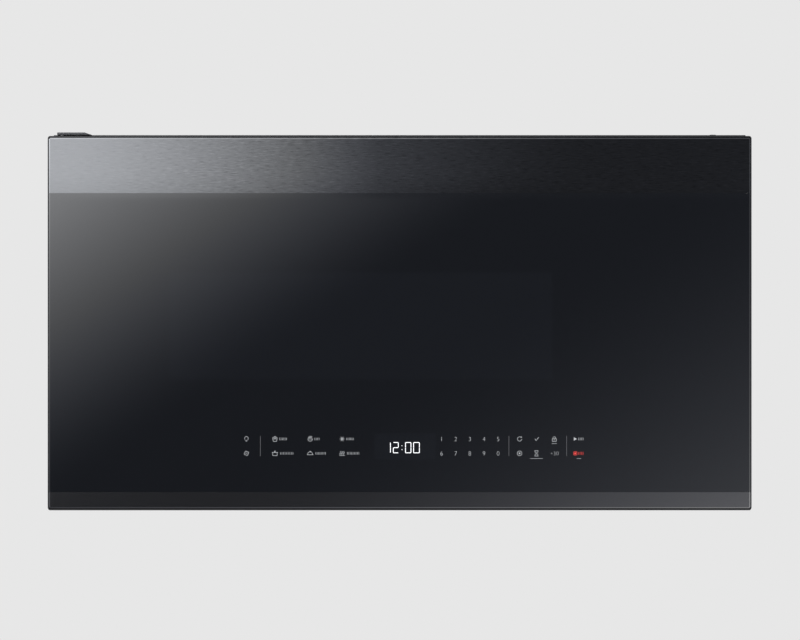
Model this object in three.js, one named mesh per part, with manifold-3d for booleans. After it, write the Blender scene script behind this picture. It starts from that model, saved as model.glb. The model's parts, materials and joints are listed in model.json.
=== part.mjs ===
// Over-the-range microwave oven, full-front door hung at the left, held by its back on a wall.
// Millimetres. +Z is up, the door faces -Y, the back of the cabinet is the plane y = 0,
// x = 0 is the middle of the width and z = 0 the middle of the door's height.

import Module from 'manifold-3d';
import * as THREE from 'three';
import { mergeVertices } from 'three/addons/utils/BufferGeometryUtils.js';

const wasm = await Module();
wasm.setup();

// ---------------------------------------------------------------- driving dimensions

// Fits and stock
const fit = 0.3; // gap between neighbouring pieces
const turnGap = 0.3; // radial gap of a shaft or pin in its bore
const sheet = 1.5; // casing sheet
const overlap = 1; // how far a cutting or joined body runs past a face

// Door outside
const doorWidth = 759;
const doorHeight = 403.3;
const doorDepth = 46;
const doorCornerRadius = 2.8;
const doorGap = 2; // closed door to cabinet front
const borderWidth = 1.1; // frame edge that shows round the front
const doorWall = 4;
const glassThickness = 4;
const topBandHeight = 59.95;
const bottomBandHeight = 17.75;
const bandJoint = 0.3;

// Cabinet outside
const cabinetDepth = 362;
const cabinetInset = 6; // cabinet side, in from the door's edge
const cabinetRise = 1.2; // cabinet top above the door's top

// Cavity and the spaces round it
const cavityWall = 1.2;
const leftChannel = 57.5;
const rightBay = 140;
const spaceUnder = 62.2;
const spaceOver = 89;
const spaceBehind = 19;

// Hinge
const hingeInset = 17; // hinge axis, in from the door's left edge and from its back
const hingePinRadius = 3;
const hingePinLength = 12;
const hingePlateThickness = 1.5;
const hingePlateHalfWidth = 5.5;
const hingePlateOnCabinet = 30;
const bushWall = 2.2;
const bushLength = 14;
const stileReach = 11.5; // solid hinge stile, past the hinge axis
const hingeFlangeHeight = 30;
const hingeFlangeOuter = 3; // flange past the axis at the door's outer side, clear of the open door
const hingeFlangeInner = 12; // and at its inner side
const notchMargin = 3.5;
const doorSkirt = 2.8; // depth of the notch under the door at the lower hinge

// Hinge cover on the cabinet's top left corner
const coverInset = 10; // from the door's left edge
const coverFlatWidth = 29.7;
const coverSlopeWidth = 7.8;
const coverRise = 2.7; // above the cabinet top
const coverWall = 0.8;
const coverForward = 14;
const coverLength = 93;

// Grip at the door's right edge
const gripHalfHeight = 86;
const gripWidth = 12;
const gripDepth = 20;
const gripWall = 4;

// Door inside
const framePlate = 1.5;
const frameSetBack = 20; // inner frame plate, behind the door's front
const chokeCoverThickness = 2;
const chokeMargin = 18;
const windowWidth = 412;
const windowHeight = 115.5;
const windowX = -41.7;
const windowZ = -3.3;
const screenMargin = 10;
const screenThickness = 0.6;
const paneMargin = 12;
const boardWidth = 380;
const boardHeight = 42;
const boardThickness = 1.6;
const boardX = 15;
const boardRise = 68.65; // touch board's centre, above the door's bottom edge
const displayWidth = 66;
const displayHeight = 28;
const displayDepth = 9;
const displayX = 5.7;

// Latch and interlock
const latchInset = 47.5; // latch, in from the door's right edge
const hookZ = 85;
const latchTravel = 5;
const hookThickness = 4;
const hookHeight = 14;
const hookNose = 4;
const noseBack = 12; // back of the hook's nose, from its tip
const noseFront = 6; // front of the nose's flat, from the tip
const hookReach = 23; // hook tip, behind the cabinet's front face
const latchBarWidth = 10;
const latchBarThickness = 4;
const springTurns = 6;
const springRadius = 3.4;
const springWire = 0.6;
const springLength = 24;
const latchBoardHalfWidth = 15;
const latchBoardHalfHeight = 108;
const latchBoardBack = 5;
const slotClearance = 2.5;
const switchWidth = 20;
const switchHeight = 16;
const switchDepth = 14;
const plungerSize = 3;
const plungerLength = 12;
const plungerTravel = 1.5;

// Vent louvre, exhaust duct and charcoal filter
const louvreWidth = 560;
const louvreDepth = 40;
const louvreSetBack = 5;
const louvreThickness = 3;
const louvreRows = 4;
const louvreColumns = 7;
const louvreRib = 5;
const ductWall = 1.2;
const charcoalThickness = 16;
const charcoalBorder = 10;
const charcoalPocket = 4;

// Hood blower
const blowerWidth = 420;
const blowerHousingDepth = 92;
const blowerHousingHeight = 86;
const blowerWall = 1.5;
const blowerInletRadius = 27;
const wheelRadius = 34;
const wheelLength = 140;
const wheelBladeDepth = 7;
const wheelBladeCount = 18;
const wheelBladeThickness = 1.6;
const blowerMotorRadius = 28;
const blowerMotorLength = 70;
const blowerShaftRadius = 4;
const shaftEngagement = 15;
const wheelEndGap = 3;

// Turntable
const trayRadius = 160;
const trayThickness = 5;
const trayRim = 13;
const trayWell = 22; // width of the tray's sloping edge
const trayLip = 5; // width of its flat top lip
const rollerOrbit = 100;
const rollerRadius = 8;
const rollerWidth = 6;
const rollerCount = 3;
const axleRadius = 2;
const ringWidth = 6;
const ringThickness = 4;
const couplerRadius = 8;
const couplerArm = 16;
const couplerShaftRadius = 4.5;
const couplerShaftRoom = 1.5; // round the shaft in the cavity's floor
const pegCircle = 20;
const pegRadius = 2.5;
const pegLength = 4;
const tableMotorRadius = 24;
const tableMotorHeight = 18;
const couplerShaftLength = 14;

// Base pan, grease filters and cooktop lamps
const filterWidth = 291.4;
const filterDepth = 161.4;
const filterThickness = 8;
const filterBorder = 9;
const filterLip = 1.5;
const meshThickness = 2.4;
const meshTuck = 4;
const filterX = 172;
const filterY = -120;
const filterFlange = 10;
const tabWidth = 24;
const tabReach = 14;
const lampWidth = 90;
const lampDepth = 40;
const lampX = 120;
const lampY = -292;
const lensThickness = 3;
const holderWall = 2;
const holderHeight = 18;
const holderRim = 5;
const intakeSlots = 5;
const intakeSlotWidth = 4;
const intakeSlotLength = 44;
const intakePitch = 9;

// Rear panel
const hangSlotWidth = 42;
const hangSlotHeight = 7;
const hangSlotInset = 123.5; // hanging slot, in from the cabinet's side
const hangSlotRise = 22;

// Microwave circuit and cooling
const guideDepth = 26;
const guideWidth = 100;
const guideHeight = 80;
const guideWall = 1.5;
const guideY = -215;
const guideDrop = 97.35; // waveguide centre, below the cavity's ceiling
const feedWidth = 84;
const feedHeight = 32;
const micaMargin = 8;
const micaThickness = 0.6;
const magnetronWidth = 80;
const magnetronHeight = 66;
const magnetronLength = 72;
const finCount = 6;
const finThickness = 2;
const finCoreRadius = 22;
const antennaRadius = 8;
const antennaLength = 18;
const transformerWidth = 90;
const transformerDepth = 55;
const transformerHeight = 76;
const transformerY = -305;
const transformerLeg = 15;
const transformerYoke = 14;
const windingBulge = 12;
const capacitorWidth = 54;
const capacitorDepth = 34;
const capacitorHeight = 84;
const capacitorY = -235;
const terminalRadius = 2.5;
const terminalHeight = 9;
const fanY = -92;
const fanDrop = 97.35; // cooling fan centre, below the cavity's ceiling
const fanPlate = 3;
const fanPlateHeight = 130;
const fanHole = 53;
const fanCollar = 16;
const fanRadius = 49;
const fanHub = 13;
const fanBlades = 5;
const fanBladeWidth = 22;
const fanBladeThickness = 1.8;
const fanBladeTurn = 32; // degrees
const fanStrut = 10;
const fanMotorSize = 44;
const fanMotorDepth = 30;
const fanShaftRadius = 3;
const lampBodyDepth = 26;
const lampBodyWidth = 44;
const lampBodyHeight = 30;
const lampWindow = 22;
const cavityLampY = -150;
const cavityLampDrop = 34;
const glandInset = 53.5; // cord gland, in from the cabinet's right side
const glandY = -60;
const glandRadius = 11;
const glandBore = 5;
const glandFlange = 15;
const glandLength = 13;

// ---------------------------------------------------------------- derived planes and places

const backY = 0;
const frontY = backY - cabinetDepth;
const doorBackY = frontY - doorGap;
const doorFrontY = doorBackY - doorDepth;
const doorHalf = doorWidth / 2;
const doorTop = doorHeight / 2;
const doorBottom = -doorTop;
const cabinetHalf = doorHalf - cabinetInset;
const cabinetTop = doorTop + cabinetRise;
const cabinetBottom = doorBottom;
const innerHalf = cabinetHalf - sheet;
const innerTop = cabinetTop - sheet;
const innerFront = frontY + sheet;
const innerBack = backY - sheet;
const baseTop = cabinetBottom + sheet;

const cavity = {
  x: [-innerHalf + leftChannel, innerHalf - rightBay],
  y: [innerFront, innerBack - spaceBehind],
  z: [baseTop + spaceUnder, innerTop - spaceOver],
};
const cavityCentreX = (cavity.x[0] + cavity.x[1]) / 2;
const cavityCentreY = (cavity.y[0] + cavity.y[1]) / 2;
const cavityFloor = cavity.z[0];
const cavityOuterRight = cavity.x[1] + cavityWall;
const cavityOuterTop = cavity.z[1] + cavityWall;
const cavityOuterFloor = cavityFloor - cavityWall;
const bayCentreX = (cavityOuterRight + innerHalf) / 2;
const guideZ = cavity.z[1] - guideDrop;
const fanZ = cavity.z[1] - fanDrop;
const latchX = doorHalf - latchInset;
const boardZ = doorBottom + boardRise;
const glandX = cabinetHalf - glandInset;
const hangSlotX = cabinetHalf - hangSlotInset;

const hingeX = -doorHalf + hingeInset;
const hingeY = doorBackY - hingeInset;
const stileRight = hingeX + stileReach;
const bushRadius = hingePinRadius + turnGap + bushWall;

const glassTop = doorTop - borderWidth - fit - topBandHeight - bandJoint;
const glassBottom = doorBottom + borderWidth + fit + bottomBandHeight + bandJoint;
const glassBackY = doorFrontY + glassThickness;
const frontHalf = doorHalf - borderWidth - fit;

const framePlateY = [doorFrontY + frameSetBack, doorFrontY + frameSetBack + framePlate];
const innerFrameRight = doorHalf - gripWidth - gripWall - fit;
const innerFrameLeft = stileRight + fit;
const innerFrameHalfHeight = doorTop - doorWall - fit;
const coverFaceY = doorBackY - chokeCoverThickness;

const barY = [framePlateY[1] + fit, framePlateY[1] + fit + latchBarThickness];
const barTop = hookZ + hookHeight / 2 + 6;
const hookTipY = frontY + hookReach;
const springTabZ = barTop + springLength + 2 * fit;
const pocketY = hookTipY + plungerTravel + 2;
const latchBoardBackY = pocketY + latchBoardBack;

const motorAxisY = innerBack - blowerHousingDepth / 2 - 4;
const motorAxisZ = cavityOuterTop + blowerHousingHeight / 2;
const blowerY = [motorAxisY - blowerHousingDepth / 2, motorAxisY + blowerHousingDepth / 2];
const louvreY = [innerFront + louvreSetBack, innerFront + louvreSetBack + louvreDepth];
const ductHalf = louvreWidth / 2 + 2;
const charcoalY = louvreY[1] + 8;

// ---------------------------------------------------------------- finishes

const finishes = {
  edgeFrame: { color: 0x17181b, roughness: 0.35, metalness: 0.6 },
  blackGlass: { color: 0x0b0c0e, roughness: 0.05, metalness: 0 },
  darkBrushed: { color: 0x3a3b3f, roughness: 0.38, metalness: 0.9 },
  casing: { color: 0x1d1e20, roughness: 0.5, metalness: 0.3 },
  blackPlastic: { color: 0x141416, roughness: 0.5, metalness: 0 },
  steel: { color: 0x9c9ea1, roughness: 0.35, metalness: 0.9 },
  enamel: { color: 0x8f9194, roughness: 0.4, metalness: 0.2 },
  aluminium: { color: 0xb9bbbe, roughness: 0.4, metalness: 0.9 },
  clearGlass: { color: 0xd8e0e2, roughness: 0.05, metalness: 0 },
  whitePlastic: { color: 0xdcdcd8, roughness: 0.5, metalness: 0 },
  board: { color: 0x1f5a37, roughness: 0.6, metalness: 0 },
  winding: { color: 0x8c4a22, roughness: 0.45, metalness: 0.3 },
  mica: { color: 0xa79f8b, roughness: 0.6, metalness: 0 },
  charcoal: { color: 0x26272a, roughness: 0.9, metalness: 0 },
  darkRubber: { color: 0x1b1b1c, roughness: 0.85, metalness: 0 },
};

// ---------------------------------------------------------------- solids

function solid(geometry) {
  const bare = geometry.clone();
  bare.deleteAttribute('normal');
  bare.deleteAttribute('uv');
  const merged = mergeVertices(bare, 1e-4);
  const index = merged.index.array;
  const triangles = [];
  for (let i = 0; i < index.length; i += 3) {
    const [a, b, c] = [index[i], index[i + 1], index[i + 2]];
    if (a !== b && b !== c && c !== a) triangles.push(a, b, c);
  }
  const body = buildSolid(merged.attributes.position.array, triangles);
  if (body.volume() > 0) return body;
  for (let i = 0; i < triangles.length; i += 3) {
    [triangles[i], triangles[i + 1]] = [triangles[i + 1], triangles[i]];
  }
  return buildSolid(merged.attributes.position.array, triangles);
}

function buildSolid(positions, triangles) {
  return new wasm.Manifold(new wasm.Mesh({
    numProp: 3,
    vertProperties: new Float32Array(positions),
    triVerts: new Uint32Array(triangles),
  }));
}

function join(first, ...others) {
  return others.reduce((body, other) => body.add(other), first);
}

function cut(body, ...tools) {
  return tools.reduce((rest, tool) => rest.subtract(tool), body);
}

function around(centre, halfSize) {
  return [centre - halfSize, centre + halfSize];
}

function grow(range, amount) {
  return [range[0] - amount, range[1] + amount];
}

// A box between three [low, high] pairs.
function block(x, y, z) {
  const geometry = new THREE.BoxGeometry(x[1] - x[0], y[1] - y[0], z[1] - z[0]);
  geometry.translate((x[0] + x[1]) / 2, (y[0] + y[1]) / 2, (z[0] + z[1]) / 2);
  return solid(geometry);
}

// Turns a shape drawn in its own XY plane so that its Z runs along the named axis.
// Along x the shape's (u, v) are (y, z), along y they are (x, z), along z they are (x, y).
function alongAxis(geometry, axis, low, high) {
  const turn = new THREE.Matrix4();
  if (axis === 'x') {
    turn.set(0, 0, 1, low, 1, 0, 0, 0, 0, 1, 0, 0, 0, 0, 0, 1);
  } else if (axis === 'y') {
    turn.set(1, 0, 0, 0, 0, 0, -1, high, 0, 1, 0, 0, 0, 0, 0, 1);
  } else {
    turn.setPosition(0, 0, low);
  }
  return geometry.applyMatrix4(turn);
}

function polygon(points) {
  return new THREE.Shape(points.map(([u, v]) => new THREE.Vector2(u, v)));
}

function prism(axis, shape, range) {
  const outline = Array.isArray(shape) ? polygon(shape) : shape;
  const depth = range[1] - range[0];
  const geometry = new THREE.ExtrudeGeometry(outline, { depth, bevelEnabled: false, curveSegments: 8 });
  return solid(alongAxis(geometry, axis, range[0], range[1]));
}

function circle(u, v, radius, sides) {
  const points = [];
  for (let i = 0; i < sides; i += 1) {
    const angle = (2 * Math.PI * (i + 0.5)) / sides;
    points.push([u + radius * Math.cos(angle), v + radius * Math.sin(angle)]);
  }
  return points;
}

function rod(axis, u, v, radius, range, sides = 24) {
  return prism(axis, circle(u, v, radius, sides), range);
}

// A round hole whose flats, not its corners, lie at the radius.
function bore(axis, u, v, radius, range, sides = 24) {
  return rod(axis, u, v, radius / Math.cos(Math.PI / sides), range, sides);
}

function roundedRectangle(halfWidth, halfHeight, radius) {
  const shape = new THREE.Shape();
  const [u, v] = [halfWidth - radius, halfHeight - radius];
  shape.moveTo(-u, -halfHeight);
  shape.absarc(u, -v, radius, -Math.PI / 2, 0, false);
  shape.absarc(u, v, radius, 0, Math.PI / 2, false);
  shape.absarc(-u, v, radius, Math.PI / 2, Math.PI, false);
  shape.absarc(-u, -v, radius, Math.PI, Math.PI * 1.5, false);
  return shape;
}

// A profile of [radius, height] pairs turned round the z axis through the origin.
function turned(profile, sides) {
  const points = profile.map(([radius, height]) => new THREE.Vector2(radius, height));
  const geometry = new THREE.LatheGeometry(points, sides);
  geometry.rotateX(Math.PI / 2);
  return solid(geometry);
}

function toGeometry(body) {
  const mesh = body.getMesh();
  const positions = [];
  for (let i = 0; i < mesh.numVert; i += 1) {
    const at = i * mesh.numProp;
    positions.push(mesh.vertProperties[at], mesh.vertProperties[at + 1], mesh.vertProperties[at + 2]);
  }
  const geometry = new THREE.BufferGeometry();
  geometry.setAttribute('position', new THREE.Float32BufferAttribute(positions, 3));
  geometry.setIndex(Array.from(mesh.triVerts));
  geometry.computeVertexNormals();
  return geometry;
}

const microwave = new THREE.Group();

function assembly(name) {
  const group = new THREE.Group();
  group.name = name;
  microwave.add(group);
  return group;
}

function place(group, name, body, finish, position = [0, 0, 0], turnZ = 0) {
  const mesh = new THREE.Mesh(toGeometry(body), new THREE.MeshStandardMaterial({ ...finish }));
  mesh.name = name;
  mesh.position.set(...position);
  mesh.rotation.z = turnZ;
  group.add(mesh);
}

// ---------------------------------------------------------------- door

// Ring round the whole door with a solid hinge stile at the left and a finger scoop at the right.
// Its back left corner is rounded about the hinge axis, so it turns clear of the cabinet.
function doorEdgeFrame() {
  const depth = [doorFrontY, doorBackY];
  const ring = cut(
    prism('y', roundedRectangle(doorHalf, doorTop, doorCornerRadius), depth),
    block(
      around(0, doorHalf - borderWidth),
      [doorFrontY - overlap, glassBackY],
      around(0, doorTop - borderWidth),
    ),
    block(around(0, doorHalf - doorWall), grow(depth, overlap), around(0, doorTop - doorWall)),
  );
  const stile = block(
    [-doorHalf + overlap, stileRight],
    [hingeY - stileReach, doorBackY],
    around(0, doorTop - overlap),
  );
  const grip = block(
    [doorHalf - gripWidth - gripWall, doorHalf - overlap],
    [doorBackY - gripDepth - gripWall, doorBackY],
    around(0, gripHalfHeight + gripWall),
  );
  const scoop = block(
    [doorHalf - gripWidth, doorHalf + overlap],
    [doorBackY - gripDepth, doorBackY + overlap],
    around(0, gripHalfHeight),
  );
  const hingeRounding = new THREE.Shape();
  hingeRounding.moveTo(-doorHalf - overlap, doorFrontY - overlap);
  hingeRounding.lineTo(doorHalf + overlap, doorFrontY - overlap);
  hingeRounding.lineTo(doorHalf + overlap, doorBackY);
  hingeRounding.absarc(hingeX, hingeY, hingeInset, Math.PI / 2, Math.PI, false);
  hingeRounding.lineTo(-doorHalf - overlap, hingeY);
  const plan = prism('z', hingeRounding, around(0, doorTop + overlap));
  const bushSeat = bushRadius + fit;
  const upperSeat = [doorTop - bushLength - fit, doorTop + overlap];
  const lowerSeat = [doorBottom - overlap, doorBottom + doorSkirt + bushLength + fit];
  const reach = hingePlateHalfWidth + notchMargin;
  const notch = block(
    [-doorHalf - overlap, hingeX + reach],
    [hingeY - reach, doorBackY + overlap],
    [doorBottom - overlap, doorBottom + doorSkirt],
  );
  return cut(
    join(ring, stile, grip).intersect(plan),
    scoop,
    bore('z', hingeX, hingeY, bushSeat, upperSeat),
    bore('z', hingeX, hingeY, bushSeat, lowerSeat),
    notch,
  );
}

function hingeBush() {
  return cut(
    rod('z', 0, 0, bushRadius, [0, bushLength]),
    bore('z', 0, 0, hingePinRadius + turnGap, [-overlap, bushLength + overlap]),
  );
}

function frontPanel(bottom, top) {
  return block(around(0, frontHalf), [doorFrontY, glassBackY], [bottom, top]);
}

// Stamped pan behind the glass: window hole, rim back to the choke cover, choke wall round the cavity.
function doorInnerFrame() {
  const height = around(0, innerFrameHalfHeight);
  const width = [innerFrameLeft, innerFrameRight];
  const rimY = [framePlateY[0], coverFaceY];
  const pan = cut(
    block(width, rimY, height),
    block(grow(width, -framePlate), [framePlateY[1], coverFaceY + overlap], grow(height, -framePlate)),
  );
  const chokeX = grow(cavity.x, chokeMargin);
  const chokeZ = grow(cavity.z, chokeMargin);
  const chokeY = [framePlateY[0] + overlap, coverFaceY];
  const choke = cut(
    block(chokeX, chokeY, chokeZ),
    block(grow(chokeX, -framePlate), grow(chokeY, overlap), grow(chokeZ, -framePlate)),
  );
  const springTab = block(
    around(latchX, latchBarWidth / 2),
    [framePlateY[0] + overlap, barY[1] + 2],
    [springTabZ, springTabZ + framePlate],
  );
  const window = block(
    around(windowX, windowWidth / 2),
    grow(framePlateY, overlap),
    around(windowZ, windowHeight / 2),
  );
  return cut(join(pan, choke, springTab), window);
}

function windowScreen() {
  return block(
    around(windowX, windowWidth / 2 + screenMargin),
    [framePlateY[1], framePlateY[1] + screenThickness],
    around(windowZ, windowHeight / 2 + screenMargin),
  );
}

function hookSlot(centreZ, y) {
  const low = centreZ - hookHeight / 2 - hookNose - slotClearance;
  const high = centreZ + hookHeight / 2 + latchTravel + slotClearance;
  return block(around(latchX, hookThickness / 2 + slotClearance), y, [low, high]);
}

function chokeCover() {
  const y = [coverFaceY, doorBackY];
  const plate = block([innerFrameLeft, innerFrameRight], y, around(0, innerFrameHalfHeight));
  const window = block(
    around(windowX, windowWidth / 2 + paneMargin),
    grow(y, overlap),
    around(windowZ, windowHeight / 2 + paneMargin),
  );
  return cut(plate, window, hookSlot(hookZ, grow(y, overlap)), hookSlot(-hookZ, grow(y, overlap)));
}

function innerPane() {
  return block(
    around(windowX, windowWidth / 2 + paneMargin - fit),
    [coverFaceY, doorBackY],
    around(windowZ, windowHeight / 2 + paneMargin - fit),
  );
}

function touchBoard() {
  const y = [glassBackY + fit, glassBackY + fit + boardThickness];
  return cut(
    block(around(boardX, boardWidth / 2), y, around(boardZ, boardHeight / 2)),
    block(
      around(displayX, displayWidth / 2 + fit),
      grow(y, overlap),
      around(boardZ, displayHeight / 2 + fit),
    ),
  );
}

function displayModule() {
  return block(
    around(displayX, displayWidth / 2),
    [glassBackY + fit, glassBackY + fit + displayDepth],
    around(boardZ, displayHeight / 2),
  );
}

// Bar with an upper and a lower hook; each nose points down behind its catch.
function doorLatch() {
  const bar = block(around(latchX, latchBarWidth / 2), barY, around(0, barTop));
  const hooks = [hookZ, -hookZ].map((centreZ) => {
    const arm = block(
      around(latchX, hookThickness / 2),
      [barY[0] + overlap, hookTipY],
      around(centreZ, hookHeight / 2),
    );
    const under = centreZ - hookHeight / 2;
    const nose = prism('x', [
      [hookTipY - noseBack, under + overlap],
      [hookTipY - noseBack, under - hookNose],
      [hookTipY - noseFront, under - hookNose],
      [hookTipY, under + overlap],
    ], around(latchX, hookThickness / 2));
    return arm.add(nose);
  });
  return join(bar, ...hooks);
}

class Helix extends THREE.Curve {
  constructor(radius, length, turns) {
    super();
    this.radius = radius;
    this.length = length;
    this.turns = turns;
  }

  getPoint(t, target = new THREE.Vector3()) {
    const angle = 2 * Math.PI * this.turns * t;
    return target.set(this.radius * Math.cos(angle), this.radius * Math.sin(angle), this.length * t);
  }
}

function latchSpring() {
  const path = new Helix(springRadius, springLength - 3 * springWire, springTurns);
  const wire = polygon(circle(0, 0, springWire, 5));
  const steps = springTurns * 8;
  return solid(new THREE.ExtrudeGeometry(wire, { steps, extrudePath: path, bevelEnabled: false }));
}

const door = assembly('door');
place(door, 'door_edge_frame', doorEdgeFrame(), finishes.edgeFrame);
place(door, 'door_glass', frontPanel(glassBottom, glassTop), finishes.blackGlass);
const topBandBottom = glassTop + bandJoint;
place(door, 'top_band', frontPanel(topBandBottom, topBandBottom + topBandHeight), finishes.darkBrushed);
const bottomBandTop = glassBottom - bandJoint;
place(door, 'bottom_band', frontPanel(bottomBandTop - bottomBandHeight, bottomBandTop), finishes.darkBrushed);
place(door, 'door_inner_frame', doorInnerFrame(), finishes.steel);
place(door, 'window_screen', windowScreen(), finishes.steel);
place(door, 'choke_cover', chokeCover(), finishes.blackPlastic);
place(door, 'inner_window_pane', innerPane(), finishes.clearGlass);
place(door, 'touch_board', touchBoard(), finishes.board);
place(door, 'display_module', displayModule(), finishes.blackPlastic);
const upperBushPlace = [hingeX, hingeY, doorTop - bushLength];
place(door, 'upper_hinge_bush', hingeBush(), finishes.whitePlastic, upperBushPlace);
const lowerBushPlace = [hingeX, hingeY, doorBottom + doorSkirt];
place(door, 'lower_hinge_bush', hingeBush(), finishes.whitePlastic, lowerBushPlace);
place(door, 'door_latch', doorLatch(), finishes.whitePlastic);
place(door, 'latch_spring', latchSpring(), finishes.steel, [
  latchX,
  (barY[0] + barY[1]) / 2 + springRadius / 2 + fit,
  barTop + fit + springWire,
]);

// ---------------------------------------------------------------- casing

function cabinetWrap() {
  const y = [innerFront, innerBack];
  const through = [innerTop - overlap, cabinetTop + overlap];
  return cut(
    block(around(0, cabinetHalf), y, [cabinetBottom, cabinetTop]),
    block(around(0, innerHalf), grow(y, overlap), [cabinetBottom - overlap, innerTop]),
    block(around(0, louvreWidth / 2 + fit), grow(louvreY, fit), through),
    bore('z', glandX, glandY, glandRadius + fit, through),
  );
}

function rearPanel() {
  const y = [innerBack, backY];
  const slots = [-hangSlotX, hangSlotX].map((x) => block(
    around(x, hangSlotWidth / 2),
    grow(y, overlap),
    around(cabinetBottom + hangSlotRise, hangSlotHeight / 2),
  ));
  return cut(block(around(0, cabinetHalf), y, [cabinetBottom, cabinetTop]), ...slots);
}

function basePan() {
  const floor = block(around(0, innerHalf), [innerFront, innerBack], [cabinetBottom, baseTop]);
  const filters = [-filterX, filterX].map((x) => [
    around(x, filterWidth / 2 + fit),
    around(filterY, filterDepth / 2 + fit),
  ]);
  const flangeZ = [cabinetBottom, baseTop + filterFlange];
  const flanges = filters.map(([x, y]) => block(grow(x, sheet), grow(y, sheet), flangeZ));
  const openings = filters.map(([x, y]) => block(x, y, grow(flangeZ, overlap)));
  const lamps = [-lampX, lampX].map((x) => block(
    around(x, lampWidth / 2 + fit),
    around(lampY, lampDepth / 2 + fit),
    [cabinetBottom - overlap, baseTop + overlap],
  ));
  const slots = Array.from({ length: intakeSlots }, (_, i) => block(
    around(innerHalf - intakeSlotLength / 2 - 4, intakeSlotLength / 2),
    around(filterY - filterDepth / 2 - 14 - i * intakePitch, intakeSlotWidth / 2),
    [cabinetBottom - overlap, baseTop + overlap],
  ));
  return cut(join(floor, ...flanges), ...openings, ...lamps, ...slots);
}

function frontFrame() {
  const y = [frontY, innerFront];
  return cut(
    block(around(0, cabinetHalf), y, [cabinetBottom, cabinetTop]),
    block(cavity.x, grow(y, overlap), cavity.z),
    hookSlot(hookZ, grow(y, overlap)),
    hookSlot(-hookZ, grow(y, overlap)),
  );
}

function louvre() {
  const halfWidth = louvreWidth / 2;
  const slotLength = (louvreWidth - louvreRib) / louvreColumns - louvreRib;
  const slotWidth = (louvreDepth - louvreRib) / louvreRows - louvreRib;
  const z = [cabinetTop - louvreThickness, cabinetTop];
  const slots = [];
  for (let row = 0; row < louvreRows; row += 1) {
    for (let column = 0; column < louvreColumns; column += 1) {
      const x = -halfWidth + louvreRib + column * (slotLength + louvreRib);
      const y = louvreY[0] + louvreRib + row * (slotWidth + louvreRib);
      slots.push(block([x, x + slotLength], [y, y + slotWidth], grow(z, overlap)));
    }
  }
  return cut(block(around(0, halfWidth), louvreY, z), ...slots);
}

function hingePlate(z) {
  return join(
    block(around(hingeX, hingePlateHalfWidth), [hingeY, frontY], z),
    rod('z', hingeX, hingeY, hingePlateHalfWidth, z),
  );
}

// Flat plate on the cabinet's top with the pin down into the door.
function upperHingeBracket() {
  const z = [cabinetTop, cabinetTop + hingePlateThickness];
  return join(
    hingePlate(z),
    block(around(hingeX, hingePlateHalfWidth), [frontY - overlap, frontY + hingePlateOnCabinet], z),
    rod('z', hingeX, hingeY, hingePinRadius, [doorTop - hingePinLength, z[0] + overlap]),
  );
}

// Plate under the door with a flange up the cabinet's front and the pin up into the door.
function lowerHingeBracket() {
  const top = doorBottom + doorSkirt - fit - fit;
  const z = [top - hingePlateThickness, top];
  const flange = block(
    [hingeX - hingeFlangeOuter, hingeX + hingeFlangeInner],
    [frontY - hingePlateThickness, frontY],
    [z[0], z[0] + hingeFlangeHeight],
  );
  return join(
    hingePlate(z),
    flange,
    rod('z', hingeX, hingeY, hingePinRadius, [z[1] - overlap, z[1] + hingePinLength]),
  );
}

// Low cover over the upper hinge with a bay beside it for the door's wiring.
function hingeCover() {
  const left = -doorHalf + coverInset;
  const right = left + coverFlatWidth;
  const top = cabinetTop + coverRise;
  const y = [hingeY - coverForward, hingeY - coverForward + coverLength];
  const body = prism('y', [
    [left, cabinetTop],
    [right + coverSlopeWidth, cabinetTop],
    [right, top],
    [left, top],
  ], y);
  const inside = block(
    [left + coverWall, right - coverWall],
    grow(y, -coverWall),
    [cabinetTop - overlap, top - coverWall],
  );
  return cut(body, inside);
}

function cordGland() {
  const body = join(
    rod('z', 0, 0, glandRadius, [-glandLength, 0]),
    rod('z', 0, 0, glandFlange, [-sheet - fit - 2, -sheet - fit]),
  );
  return cut(body, bore('z', 0, 0, glandBore, [-glandLength - overlap, overlap], 16));
}

const casing = assembly('casing');
place(casing, 'cabinet_wrap', cabinetWrap(), finishes.casing);
place(casing, 'rear_panel', rearPanel(), finishes.steel);
place(casing, 'base_pan', basePan(), finishes.casing);
place(casing, 'front_frame', frontFrame(), finishes.enamel);
place(casing, 'vent_louvre', louvre(), finishes.blackPlastic);
place(casing, 'upper_hinge_bracket', upperHingeBracket(), finishes.steel);
place(casing, 'lower_hinge_bracket', lowerHingeBracket(), finishes.steel);
place(casing, 'hinge_cover', hingeCover(), finishes.blackPlastic);
place(casing, 'cord_gland', cordGland(), finishes.darkRubber, [glandX, glandY, cabinetTop]);

// ---------------------------------------------------------------- hood: filters, lamps, blower, duct

function greaseFilterFrame() {
  const z = [0, filterThickness];
  const middle = filterThickness / 2;
  const openX = around(0, filterWidth / 2 - filterBorder);
  const openY = around(0, filterDepth / 2 - filterBorder);
  const groove = block(grow(openX, meshTuck), grow(openY, meshTuck), around(middle, meshThickness / 2 + fit));
  const ring = cut(
    block(around(0, filterWidth / 2), around(0, filterDepth / 2), z),
    block(openX, openY, grow(z, overlap)),
    groove,
  );
  const tab = block(around(0, tabWidth / 2), [openY[0] - overlap, openY[0] + tabReach], [0, filterLip]);
  return ring.add(tab);
}

function greaseFilterMesh() {
  return block(
    around(0, filterWidth / 2 - filterBorder + meshTuck - fit),
    around(0, filterDepth / 2 - filterBorder + meshTuck - fit),
    around(filterThickness / 2, meshThickness / 2),
  );
}

function lampLens() {
  return block(around(0, lampWidth / 2), around(0, lampDepth / 2), [0, lensThickness]);
}

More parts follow.
